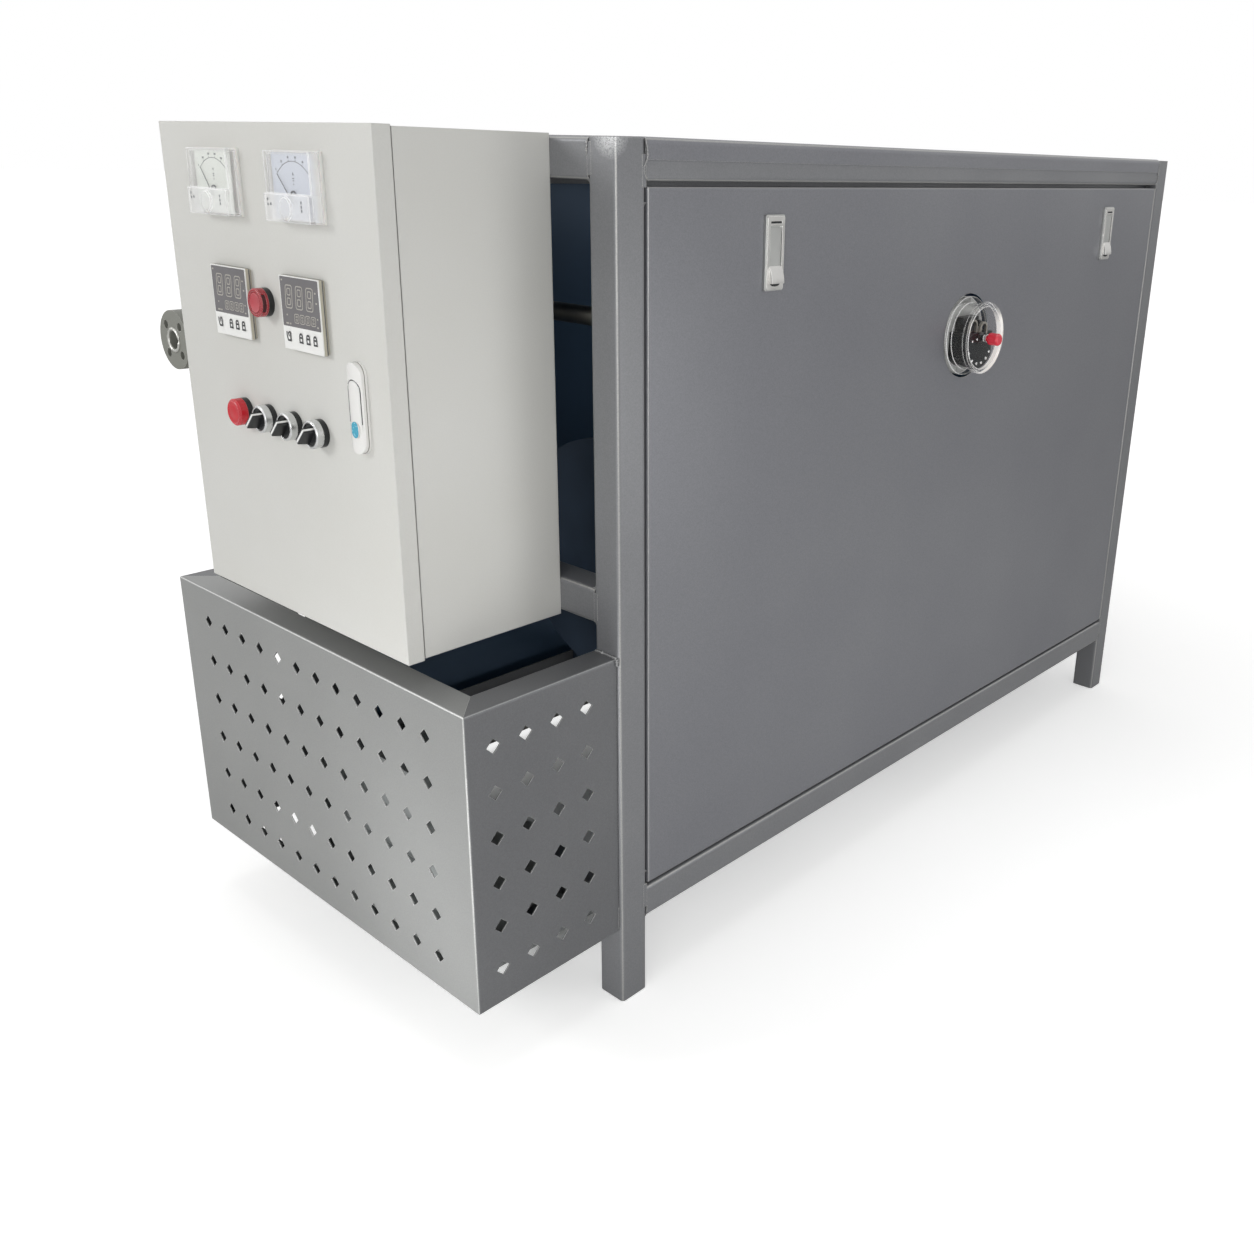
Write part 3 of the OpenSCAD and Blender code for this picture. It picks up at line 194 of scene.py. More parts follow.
cabinetPowder = powderCoat("cabinet powder coat", {
    "light": "#d9d9d6", "dark": "#d1d1cd", "cloud": "#f7f6f3", "edge": "#e4e4e0",
    "peelMm": 2.4, "edgeMm": 1.5, "gloss": 0.4})
motorEnamel = powderCoat("pump set enamel", {
    "light": "#9a9d9c", "dark": "#8b8e8d", "cloud": "#d9dcde", "edge": "#b4b7b6",
    "peelMm": 3.5, "edgeMm": 1.0, "gloss": 0.45})
flangePaint = powderCoat("flange primer", {
    "light": "#8b8c86", "dark": "#7d7e78", "cloud": "#e9e8e3", "edge": "#b9b9b1",
    "peelMm": 3.0, "edgeMm": 1.0, "gloss": 0.5})
print("powder coats mixed")

swirlMm = 30  # slow drift of the pigment


# Moulded plastic: the polished or spark-eroded mould leaves an even skin with a faint grain and soft edges.
def mouldedPlastic(name, look):
    finish, tree, shader, place = newFinish(name, {
        "Roughness": look["gloss"], "IOR": look.get("ior", 1.52), **look.get("more", {})})
    grain = addNode(tree, "TexNoise", lumps(look["grainMm"]), {"Vector": place})
    swirl = addNode(tree, "TexNoise", lumps(swirlMm), {"Vector": place})
    edge, soft = softEdges(tree, look["edgeMm"])
    tone = addNode(tree, "Mix", {**colourMix, 6: look["dark"], 7: look["light"]}, {0: swirl})
    # edges take the edge colour; where it is lighter than the body it is a painted highlight
    colour = addNode(tree, "Mix", {**colourMix, 7: look.get("edge", look["light"])}, {0: edge, 6: tone})
    if "beyond" in look:
        # past one plane, given by its axis and the start and end of the change in mm, the colour is another
        axis, start, end, other = look["beyond"]
        parts = addNode(tree, "SeparateXYZ", {}, {"Vector": place}).outputs
        past = addNode(tree, "MapRange", {"From Min": start * mm, "From Max": end * mm},
                       {"Value": parts[axis]})
        colour = addNode(tree, "Mix", {**colourMix, 7: other}, {0: past, 6: colour})
    skin = addNode(tree, "Bump", {"Strength": look.get("relief", 0.15), "Distance": 0.05 * mm},
                   {"Height": grain, "Normal": soft})
    connect(tree, shader, {"Base Color": colour, "Normal": skin})
    return finish


whiteAbs = mouldedPlastic("white ABS", {
    "light": "#eeedea", "dark": "#e4e3df", "grainMm": 1.2, "edgeMm": 0.8, "gloss": 0.3,
    "more": {"Subsurface Weight": 0.08, "Subsurface Scale": 0.002}})
# controller cases: white front, the sleeve behind it in beige
caseAbs = mouldedPlastic("white and beige ABS", {
    "light": "#f4f4f2", "dark": "#ecece9", "grainMm": 1.2, "edgeMm": 0.8, "gloss": 0.32,
    "beyond": ("X", -226.3, -225.9, "#b9b4a4")})
glossWhiteNylon = mouldedPlastic("gloss white nylon", {
    "light": "#efeeec", "dark": "#e5e4e1", "edge": "#fafaf8", "grainMm": 2.0, "edgeMm": 1.4, "gloss": 0.16,
    "relief": 0.05, "more": {"Coat Weight": 0.3, "Coat Roughness": 0.08}})
blackNylon = mouldedPlastic("black nylon", {
    "light": "#191b1d", "dark": "#101214", "edge": "#35383b", "grainMm": 1.0, "edgeMm": 0.8, "gloss": 0.36})
# gauge movement: black works in front of a pale pressed plate
gaugeNylon = mouldedPlastic("black nylon on pressed plate", {
    "light": "#1c2023", "dark": "#121518", "edge": "#4d5256", "grainMm": 1.0, "edgeMm": 0.9, "gloss": 0.3,
    "beyond": ("Y", -12.6, -12.2, "#b4b5b3"), "more": {"Specular IOR Level": 0.15}})
redPolycarbonate = mouldedPlastic("red polycarbonate", {
    "light": "#d01a2c", "dark": "#bd1322", "edge": "#ec7b82", "grainMm": 1.5, "edgeMm": 0.9, "gloss": 0.24,
    "ior": 1.58,
    "more": {"Subsurface Weight": 0.05, "Subsurface Scale": 0.003, "Subsurface Radius": (1.0, 0.25, 0.2)}})
buzzerRed = mouldedPlastic("dark red polycarbonate", {
    "light": "#a8232f", "dark": "#921a25", "edge": "#e39a9c", "grainMm": 1.5, "edgeMm": 0.9, "gloss": 0.24,
    "ior": 1.58})
knobRed = mouldedPlastic("red phenolic", {
    "light": "#e62840", "dark": "#d81d35", "grainMm": 2.0, "edgeMm": 1.0, "gloss": 0.25, "ior": 1.6,
    "more": {"Coat Weight": 0.4, "Coat Roughness": 0.1}})
blackRubber = mouldedPlastic("black nitrile rubber", {
    "light": "#26272a", "dark": "#1b1c1e", "grainMm": 0.8, "edgeMm": 0.5, "gloss": 0.65, "relief": 0.3})
windowGrey = mouldedPlastic("smoked acrylic", {
    "light": "#7a787a", "dark": "#6f6d6f", "edge": "#525153", "grainMm": 3.0, "edgeMm": 0.5, "gloss": 0.14,
    "relief": 0.02, "ior": 1.49})
pinkMembrane = mouldedPlastic("pink sounder membrane", {
    "light": "#b9474f", "dark": "#ab3a43", "edge": "#dc8a8d", "grainMm": 0.9, "edgeMm": 0.6, "gloss": 0.4})
slotShadeRed = mouldedPlastic("dark red painted slot shade", {
    "light": "#4a1419", "dark": "#340d11", "grainMm": 0.8, "edgeMm": 0.4, "gloss": 0.6, "relief": 0.3})
dialCardGreen = mouldedPlastic("greenish dial card", {
    "light": "#e6e9e3", "dark": "#dfe3dc", "grainMm": 0.8, "edgeMm": 0.3, "gloss": 0.55})
dialCardBlue = mouldedPlastic("bluish dial card", {
    "light": "#d5d9e2", "dark": "#ccd1db", "grainMm": 0.8, "edgeMm": 0.3, "gloss": 0.55})
greyInk = mouldedPlastic("grey print ink", {
    "light": "#6a6c6f", "dark": "#5c5e61", "grainMm": 0.8, "edgeMm": 0.1, "gloss": 0.6})
blackInk = mouldedPlastic("black print ink", {
    "light": "#3a3b3d", "dark": "#2c2d2f", "grainMm": 0.8, "edgeMm": 0.1, "gloss": 0.6})
segmentFilm = mouldedPlastic("unlit segment film", {
    "light": "#b3afa6", "dark": "#a8a49b", "grainMm": 0.8, "edgeMm": 0.1, "gloss": 0.5})
gasketGrey = mouldedPlastic("grey foam gasket", {
    "light": "#8c8981", "dark": "#7f7c74", "grainMm": 0.8, "edgeMm": 0.2, "gloss": 0.7})
whiteInk = mouldedPlastic("white pointer paint", {
    "light": "#f6f6f4", "dark": "#eeeeeb", "grainMm": 0.8, "edgeMm": 0.2, "gloss": 0.45})


# Blue acetal under a smooth gloss: the pale specks in the turquoise ground are painted highlights.
def glintedAcetal(name, look):
    finish, tree, shader, place = newFinish(name, {"Roughness": 0.22, "IOR": 1.48})
    cell = addNode(tree, "TexVoronoi", {"Scale": 1 / (look["glintMm"] * mm)}, {"Vector": place})
    speck = addNode(tree, "MapRange", {"From Min": 0.32, "From Max": 0.12}, {"Value": cell})
    tone = addNode(tree, "Mix", {**colourMix, 6: look["ground"], 7: look["speck"]}, {0: speck})
    soft = addNode(tree, "Bevel", {"samples": 4, "Radius": look["edgeMm"] * mm})
    connect(tree, shader, {"Base Color": tone, "Normal": soft})
    return finish


blueAcetal = glintedAcetal("blue acetal with painted highlights", {
    "ground": "#45a3bf", "speck": "#a9dcea", "glintMm": 3.0, "edgeMm": 1.0})
print("plastics mixed")

paneToWall = {"From Min": 0.9, "From Max": 0.6}  # from the pane's own faces to the walls that stand on it
flowMm = 3.2


# Clear moulded plastic: polished panes pass nearly all light, walls show flow streaks, thick parts are milky,
# and cut edges are painted white, a painted highlight, while they and the milky walls glow faintly as painted
# light.
def clearPlastic(name, look):
    finish, tree, shader, place = newFinish(name, {
        "IOR": look["ior"], "Roughness": 0.08, "Emission Color": "#ffffff"})
    facing = addNode(tree, "TexCoord").outputs["Normal"]
    sides = addNode(tree, "SeparateXYZ", {}, {"Vector": facing}).outputs
    spots = addNode(tree, "SeparateXYZ", {}, {"Vector": place}).outputs
    drawn = addNode(tree, "VectorMath", {"operation": "MULTIPLY", 1: look["streak"]}, {0: place})
    streak = addNode(tree, "TexNoise", lumps(flowMm, 1.0), {"Vector": drawn})
    flat = addNode(tree, "Math", {"operation": "ABSOLUTE"}, {0: sides[look["paneAxis"]]})
    wall = addNode(tree, "MapRange", {**paneToWall, "To Min": look["pane"], "To Max": look["wall"]},
                   {"Value": flat})
    # thick from one plane on: its axis, the start and end of the change in mm, and how milky it gets
    axis, start, end, share = look["milky"]
    thick = addNode(tree, "MapRange", {"From Min": start * mm, "From Max": end * mm, "To Max": share},
                    {"Value": spots[axis]})
    if "milkySide" in look:
        # the walls of the rim are made milky on one side
        centre, towards = look["milkySide"]
        out = addNode(tree, "VectorMath", {"operation": "SUBTRACT", 1: centre}, {0: place})
        side = addNode(tree, "VectorMath", {"operation": "DOT_PRODUCT", 1: towards}, {0: out})
        sideMilk = addNode(tree, "MapRange", {"From Min": -5 * mm, "From Max": 25 * mm},
                         {"Value": side, "To Max": thick})
        thick = addNode(tree, "MapRange", paneToWall, {"Value": flat, "To Max": sideMilk})
    edge, soft = softEdges(tree, look["edgeMm"])
    rim = addNode(tree, "Math", {"operation": "MULTIPLY", 1: look["rim"]}, {0: edge})
    body = addNode(tree, "Math", {"operation": "MAXIMUM"}, {0: wall, 1: thick})
    gathered = addNode(tree, "Math", {"operation": "MAXIMUM"}, {0: body, 1: rim})
    upright = addNode(tree, "MapRange", paneToWall, {"Value": flat})
    shade = addNode(tree, "MapRange", {"From Min": 0.46, "From Max": 0.58},
                    {"Value": streak, "To Max": upright})
    veined = addNode(tree, "Mix", {**colourMix, 6: look["tint"], 7: look["vein"]}, {0: shade})
    # cut edges are painted white: a painted highlight
    colour = addNode(tree, "Mix", {**colourMix, 7: "#ffffff"}, {0: edge, 6: veined})
    # edges and milky walls glow faintly: painted light
    glowShare = addNode(tree, "Math", {"operation": "MULTIPLY", 1: look["glowShare"]}, {0: gathered})
    connect(tree, shader, {
        "Base Color": colour, "Emission Strength": glowShare, "Alpha": gathered, "Normal": soft})
    # polish that mirrors the room at a slant
    gleam = addNode(tree, "BsdfGlossy", {"Roughness": 0.06}, {"Normal": soft})
    slant = addNode(tree, "LayerWeight", {"Blend": 0.5}, {"Normal": soft}).outputs["Facing"]
    skim = addNode(tree, "Math", {"operation": "POWER", 1: 6.0}, {0: slant})
    polished = addNode(tree, "MixShader", {}, {0: skim, 1: shader, 2: gleam})
    connect(tree, tree.nodes["Material Output"], {"Surface": polished})
    return finish


coverStyrene = clearPlastic("clear styrene", {
    "tint": "#fcfcfc", "vein": "#a8a5a6", "streak": (1.0, 0.3, 0.02), "ior": 1.59, "glowShare": 0.25,
    "paneAxis": "X", "pane": 0.05, "wall": 0.3, "edgeMm": 2.4, "rim": 0.95,
    "milky": ("Z", 920.4, 919.8, 0.33)})
cupPolycarbonate = clearPlastic("clear polycarbonate", {
    "tint": "#fbf7f1", "vein": "#e9dfd5", "streak": (0.1, 0.6, 0.1), "ior": 1.585, "glowShare": 0.4,
    "paneAxis": "Y", "pane": 0.005, "wall": 0.02, "edgeMm": 2.2, "rim": 0.95,
    "milky": ("Y", -43.4, -44.2, 0.92), "milkySide": ((0.649, 0.0, 0.7365), (0.85, 0.0, -0.53))})


# Bare and plated metal: brushing or turning leaves fine lines along one axis, handling leaves dull patches.
def workedMetal(name, look):
    finish, tree, shader, place = newFinish(name, {"Metallic": 1.0})
    stretch = addNode(tree, "VectorMath", {"operation": "MULTIPLY", 1: look["lines"]}, {0: place})
    lines = addNode(tree, "TexNoise", lumps(look["lineMm"]), {"Vector": stretch})
    dull = addNode(tree, "TexNoise", lumps(look["dullMm"], 3.0), {"Vector": place})
    edge, soft = softEdges(tree, look["edgeMm"])
    tone = addNode(tree, "Mix", {**colourMix, 6: look["dark"], 7: look["light"]}, {0: dull})
    # edges are painted in the lighter edge colour: a painted highlight
    colour = addNode(tree, "Mix", {**colourMix, 7: look.get("edge", look["light"])}, {0: edge, 6: tone})
    if "sunk" in look:
        # the sunk bed kept its dull cast skin
        start, end, bed = look["sunk"]
        parts = addNode(tree, "SeparateXYZ", {}, {"Vector": place}).outputs
        below = addNode(tree, "MapRange", {"From Min": start * mm, "From Max": end * mm},
                        {"Value": parts["Y"]})
        colour = addNode(tree, "Mix", {**colourMix, 7: bed}, {0: below, 6: colour})
    sheen = addNode(tree, "MapRange", {"From Min": 0.3, "From Max": 0.7, "To Min": look["gloss"] - 0.08,
                                       "To Max": look["gloss"] + 0.1}, {"Value": dull})
    scratch = addNode(tree, "Bump", {"Strength": look["relief"], "Distance": 0.06 * mm},
                      {"Height": lines, "Normal": soft})
    connect(tree, shader, {"Base Color": colour, "Roughness": sheen, "Normal": scratch})
    return finish


satinZinc = workedMetal("satin plated zinc", {
    "light": "#cecdca", "dark": "#bdbcba", "edge": "#eeedea", "lines": (1.0, 1.0, 0.08), "lineMm": 1.0,
    "dullMm": 14, "edgeMm": 1.0, "gloss": 0.36, "relief": 0.25, "sunk": (-24.6, -24.0, "#b9bab8")})
chromePlate = workedMetal("chrome plate", {
    "light": "#dadbdb", "dark": "#d0d1d2", "edge": "#f6f6f5", "lines": (0.1, 1.0, 1.0), "lineMm": 1.0,
    "dullMm": 25, "edgeMm": 0.9, "gloss": 0.24, "relief": 0.05})
turnedSteel = workedMetal("turned steel", {
    "light": "#a8a59d", "dark": "#8d8a82", "lines": (1.0, 1.0, 1.0), "lineMm": 1.2,
    "dullMm": 22, "edgeMm": 1.0, "gloss": 0.45, "relief": 0.3})
weldMetal = workedMetal("bright weld metal", {
    "light": "#d3d3ce", "dark": "#b3b3ae", "lines": (1.0, 1.0, 1.0), "lineMm": 1.5,
    "dullMm": 4, "edgeMm": 0.6, "gloss": 0.38, "relief": 0.4})


# Heat-proof black enamel brushed on rolled plate: dull, with the drag of the brush and dusty patches.
def brushedBlack(name, look):
    finish, tree, shader, place = newFinish(name, {"IOR": 1.5})
    drag = addNode(tree, "VectorMath", {"operation": "MULTIPLY", 1: (0.15, 1.0, 1.0)}, {0: place})
    streak = addNode(tree, "TexNoise", lumps(look["brushMm"], 3.0), {"Vector": drag})
    dust = addNode(tree, "TexNoise", lumps(look["dustMm"], 4.0), {"Vector": place})
    tone = addNode(tree, "Mix", {**colourMix, 6: look["dark"], 7: look["light"]}, {0: dust})
    sheen = addNode(tree, "MapRange", {"To Min": 0.45, "To Max": 0.65}, {"Value": dust})
    brush = addNode(tree, "Bump", {"Strength": 0.2, "Distance": 0.15 * mm}, {"Height": streak})
    connect(tree, shader, {"Base Color": tone, "Roughness": sheen, "Normal": brush})
    return finish


drumBlack = brushedBlack("heat-proof black enamel", {
    "light": "#3f5166", "dark": "#2e3c4d", "brushMm": 4, "dustMm": 60})
print("metals and clear plastics mixed")

# which finish each CAD node carries
nodeFinishes = (
    (frameEnamel, "post_front_left post_back_left post_front_right post_back_right middle_rail"),
    (frameEnamel, "top_rail_front top_rail_back top_rail_left top_rail_right"),
    (frameEnamel, "bottom_rail_front bottom_rail_back bottom_rail_left bottom_rail_right"),
    (panelEnamel, "front_panel back_panel end_panel roof_panel"),
    (guardFrontLitEnamel, "guard_front"),
    (guardSideShadedEnamel, "guard_near guard_far"),
    (cabinetPowder, "cabinet_body cabinet_door"),
    (satinZinc, "latch_near latch_far door_hinges"),
    (cupPolycarbonate, "gauge_window"),
    (coverStyrene, "meter_cover_left meter_cover_right"),
    (whiteAbs, "meter_base_left meter_base_right"),
    (caseAbs, "controller_left_unit controller_right_unit"),
    (glossWhiteNylon, "door_handle"),
    (blackNylon, "switch_collars selector_knob_1 selector_knob_2 selector_knob_3"),
    (gaugeNylon, "gauge_case"),
    (redPolycarbonate, "lamp"),
    (buzzerRed, "buzzer"),
    (knobRed, "gauge_knob"),
    (blueAcetal, "handle_button"),
    (chromePlate, "selector_bezels"),
    (turnedSteel, "gauge_pipe oil_pipes"),
    (flangePaint, "oil_flange"),
    (motorEnamel, "pump_base pump_motor oil_pump"),
    (drumBlack, "heater_drum drum_saddles"),
)
for finish, names in nodeFinishes:
    for name in names.split():
        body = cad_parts[name]
        if not body.material_slots:
            body.data.materials.append(finish)
        for held in body.material_slots:
            held.material = finish
print("finishes put on the CAD nodes")


# mesh helpers: every shape is drawn in mm and set down by a placing matrix
def placing(origin, across, up):
    depth = Vector(across).cross(Vector(up))
    columns = [Vector(across) * mm, Vector(up) * mm, depth * mm, Vector(origin) * mm]
    return Matrix([[columns[c][r] for c in range(4)] for r in range(3)] + [[0, 0, 0, 1]])


wholeFrame = placing((0, 0, 0), (1, 0, 0), (0, 1, 0))


def boxMm(node):
    low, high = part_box(node)
    return low * 1000, high * 1000


# looking at the door from outside: across is to the right, up is up, depth comes out of the door
def onDoor(y, z, x):
    return placing((x, y, z), (0, -1, 0), (0, 0, 1))


# the middle of a node as seen from outside the door, at its own face or at another depth
def doorFace(node, x=None):
    low, high = boxMm(node)
    return onDoor((low.y + high.y) / 2, (low.z + high.z) / 2, low.x if x is None else x)


# looking at the front panel from outside
def onFront(x, z, y):
    return placing((x, y, z), (1, 0, 0), (0, 0, 1))


def spotAt(centre, radius, degrees):
    turn = math.radians(degrees)
    return centre[0] + radius * math.cos(turn), centre[1] + radius * math.sin(turn)


def arc(centre, radius, start, end, steps):
    return [spotAt(centre, radius, start + (end - start) * i / steps) for i in range(steps + 1)]


def circle(centre, radius, steps):
    return arc(centre, radius, 0, 360, steps)[:-1]


def roundedOutline(wide, tall, radius, steps=5):
    points = []
    for cx, cy, start in ((1, 1, 0), (-1, 1, 90), (-1, -1, 180), (1, -1, 270)):
        points += arc((cx * (wide / 2 - radius), cy * (tall / 2 - radius)), radius, start, start + 90, steps)
    return points


def addRing(mesh, place, points):
    return [mesh.verts.new(place @ Vector(p)) for p in points]


def joinRings(mesh, lower, upper):
    for i in range(len(lower)):
        j = (i + 1) % len(lower)
        mesh.faces.new((lower[i], lower[j], upper[j], upper[i]))


# straight-sided block with a given outline
def addPrism(mesh, place, outline, low, high):
    bottom = addRing(mesh, place, [(a, b, low) for a, b in outline])
    top = addRing(mesh, place, [(a, b, high) for a, b in outline])
    joinRings(mesh, bottom, top)
    mesh.faces.new(list(reversed(bottom)))
    mesh.faces.new(top)


# turned shape: profile of (radius, height), from the axis or back to its first point
def addTurned(mesh, place, profile, steps, spot=(0, 0)):
    rings = []
    for radius, height in profile:
        points = circle(spot, radius, steps) if radius > 0 else [spot]
        rings.append(addRing(mesh, place, [(a, b, height) for a, b in points]))
    pairs = list(zip(rings, rings[1:]))
    if profile[0][0] > 0 and profile[-1][0] > 0:
        pairs.append((rings[-1], rings[0]))
    for lower, upper in pairs:
        if len(lower) == 1:
            for i in range(len(upper)):
                mesh.faces.new((lower[0], upper[(i + 1) % len(upper)], upper[i]))
        elif len(upper) == 1:
            for i in range(len(lower)):
                mesh.faces.new((lower[i], lower[(i + 1) % len(lower)], upper[0]))
        else:
            joinRings(mesh, lower, upper)


# flat line of even width along a path, mitred at its bends
def addLine(mesh, place, path, width, low, high, closed=False):
    count = len(path)
    corners = []
    for i in range(count):
        before = Vector(path[(i - 1) % count] if closed or i > 0 else path[i])
        after = Vector(path[(i + 1) % count] if closed or i < count - 1 else path[i])
        here = Vector(path[i])
        one = (here - before).normalized() if (here - before).length > 0 else (after - here).normalized()
        two = (after - here).normalized() if (after - here).length > 0 else one
        side = Vector((-(one + two).y, (one + two).x)).normalized()
        reach = width / 2 / max(0.4, side.dot(Vector((-one.y, one.x))))
        left, right = here + side * reach, here - side * reach
        corners.append(addRing(mesh, place, [(right.x, right.y, low), (left.x, left.y, low),
                                             (left.x, left.y, high), (right.x, right.y, high)]))
    for i in range(count if closed else count - 1):
        joinRings(mesh, corners[(i + 1) % count], corners[i])
    if not closed:
        mesh.faces.new(corners[0])
        mesh.faces.new(list(reversed(corners[-1])))


# short straight stroke, reach to either side of its middle
def addStroke(mesh, place, across, up, reach, width, low, high):
    addLine(mesh, place, [(across - reach, up), (across + reach, up)], width, low, high)


capitalShare = 0.73  # height of a figure over the size of the built-in lettering


# printed figures, cut out of the built-in lettering
def addFigures(mesh, place, words, height, spot, low, high):
    letters = bpy.data.curves.new("figures", "FONT")
    letters.body = words
    letters.size = height / capitalShare
    letters.align_x = "CENTER"
    letters.align_y = "CENTER"
    letters.extrude = (high - low) / 2
    letters.resolution_u = 3
    holder = bpy.data.objects.new("figures", letters)
    scene.collection.objects.link(holder)
    solid = bpy.data.meshes.new_from_object(holder.evaluated_get(bpy.context.evaluated_depsgraph_get()))
    solid.transform(place @ Matrix.Translation((spot[0], spot[1], (low + high) / 2)))
    mesh.from_mesh(solid)
    bpy.data.objects.remove(holder)
    bpy.data.meshes.remove(solid)
    bpy.data.curves.remove(letters)


# weld run: round section along a path, with the ripple and wander of the hand that laid it
def addBead(mesh, place, path, run, sides=8):
    rng = random.Random(run["seed"])
    dense = []
    for a, b in zip(path, path[1:]):
        steps = max(1, int((Vector(b) - Vector(a)).length / run["step"]))
        dense += [Vector(a).lerp(Vector(b), i / steps) for i in range(steps)]
    dense.append(Vector(path[-1]))
    rings = []
    travelled = 0.0
    for i, here in enumerate(dense):
        ahead = dense[min(i + 1, len(dense) - 1)] - dense[max(i - 1, 0)]
        ahead.normalize()
        side = ahead.cross(Vector((0.31, 0.52, 0.8))).normalized()  # any way that no run goes along
        lift = ahead.cross(side)
        travelled += (here - dense[max(i - 1, 0)]).length
        fade = min(1.0, (i + 0.6) / 2.5, (len(dense) - i - 0.4) / 2.5)  # both ends taper
        wave = math.sin(2 * math.pi * travelled / run["pitch"])
        radius = run["radius"] * fade * (1 + run["ripple"] * wave + run["ripple"] * rng.uniform(-0.6, 0.6))
        middle = here + side * rng.uniform(-1, 1) * run["wander"] + lift * rng.uniform(-1, 1) * run["wander"]
        around = [middle + (side * a + lift * b) * radius for a, b in circle((0, 0), 1, sides)]
        rings.append(addRing(mesh, place, around))
    for lower, upper in zip(rings, rings[1:]):
        joinRings(mesh, lower, upper)
    mesh.faces.new(list(reversed(rings[0])))
    mesh.faces.new(rings[-1])


# one finished piece: its own mesh, finish and the body it goes with
def finishPiece(name, body, finish, mesh, crease=35):
    bmesh.ops.recalc_face_normals(mesh, faces=mesh.faces)
    shape = bpy.data.meshes.new(name)
    mesh.to_mesh(shape)
    mesh.free()
    shape.polygons.foreach_set("use_smooth", [True] * len(shape.polygons))
    shape.set_sharp_from_angle(angle=math.radians(crease))
    shape.materials.append(finish)
    piece = bpy.data.objects.new(name, shape)
    scene.collection.objects.link(piece)
    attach(piece, body)


# welds on the frame's upper front and back joints, beside the roof sheet's lip and down the rail. Points of a
# run are inward from the rail's end, out of its face and below its top. Points of a drip are inward from the
# end face, across the seam and below the top.
frameWelds = {"radius": 1.15, "ripple": 0.25, "pitch": 3.4, "wander": 0.35, "step": 1.0,
              "run": ((-1, 0.6, 1), (0.6, 1.2, 8), (1.5, 1.3, 16), (0, 0.7, 21), (-2.5, 0.2, 26),
                      (-2.5, 0.1, 31), (0.5, 0.1, 36.5), (4, -0.3, 39.3)),
              "drip": ((0.3, 0, 1.5), (-0.4, 0, 6), (0.2, 0.8, 17)), "dripRadius": 1.5}
welds = bmesh.new()
for number, (rail, outer) in enumerate((("top_rail_front", -1), ("top_rail_back", 1))):
    low, high = boxMm(rail)
    face = low.y if outer < 0 else high.y
    for end, inward in ((low.x, 1), (high.x, -1)):
        path = [(end + inward * a, face + outer * b, high.z - c) for a, b, c in frameWelds["run"]]
        addBead(welds, wholeFrame, path, dict(frameWelds, seed=number * 7 + int(end)))
for post, inner in (("post_front_left", 1), ("post_back_left", -1)):
    low, high = boxMm(post)
    seam = high.y if inner > 0 else low.y
    path = [(low.x + a, seam + inner * b, high.z - c) for a, b, c in frameWelds["drip"]]
    addBead(welds, wholeFrame, path, dict(frameWelds, radius=frameWelds["dripRadius"], seed=31 + inner))
finishPiece("frame_welds", "frame", frameEnamel, welds, crease=60)

# ground welds: they fill the groove beside each rounded post flush and round the openings' inside corners
groundWelds = {"tubeHalf": 20.0, "tubeRound": 5.0, "proud": 0.12, "sunk": 0.4, "half": 15.5,
               "fillet": 4.5, "filletSunk": 0.5, "long": 17.0, "steps": 6}


def addGrooveFill(mesh, origin, along, outward):
    bend, proud, sunk = groundWelds["tubeRound"], groundWelds["proud"], groundWelds["sunk"]
    outline = [(sunk, -bend), (sunk, proud), (-bend - sunk, proud), (-bend - sunk, -sunk)]
    outline += arc((-bend, -bend), bend - sunk, 90, 0, groundWelds["steps"])
    addPrism(mesh, placing(origin, along, outward), outline, -groundWelds["half"], groundWelds["half"])


def addFillet(mesh, place, right, up):
    bend, sunk = groundWelds["fillet"], groundWelds["filletSunk"]
    hollow = arc((bend, bend), bend, 270, 180, groundWelds["steps"])
    outline = [(-sunk, -sunk), (bend, -sunk)] + hollow + [(-sunk, bend)]
    outline = [(right * a, up * b) for a, b in outline]
    addPrism(mesh, place, outline, -groundWelds["long"], groundWelds["long"])


# each rail, the sign of its outer side, and whether it runs lengthwise; an upper rail has no opening above it
ground = bmesh.new()
for rail, outer, lengthwise in (
        ("top_rail_front", -1, True), ("bottom_rail_front", -1, True), ("top_rail_back", 1, True),
        ("bottom_rail_back", 1, True), ("top_rail_left", -1, False), ("middle_rail", -1, False),
        ("bottom_rail_left", -1, False), ("top_rail_right", 1, False), ("bottom_rail_right", 1, False)):
    low, high = boxMm(rail)
    run, out = (0, 1) if lengthwise else (1, 0)
    face = low[out] if outer < 0 else high[out]
    for end, inward in ((low[run], 1), (high[run], -1)):
        spot = (end, face) if lengthwise else (face, end)
        along = (inward, 0, 0) if lengthwise else (0, inward, 0)
        outward = (0, outer, 0) if lengthwise else (outer, 0, 0)
        addGrooveFill(ground, (*spot, (low.z + high.z) / 2), along, outward)
        for up in (-1,) if rail.startswith("top") else (-1, 1):
            view = onFront if lengthwise else onDoor
            corner = view(end, low.z if up < 0 else high.z, face - outer * groundWelds["tubeHalf"])
            addFillet(ground, corner, inward if lengthwise else -inward, up)
finishPiece("ground_welds", "frame", frameEnamel, ground, crease=50)

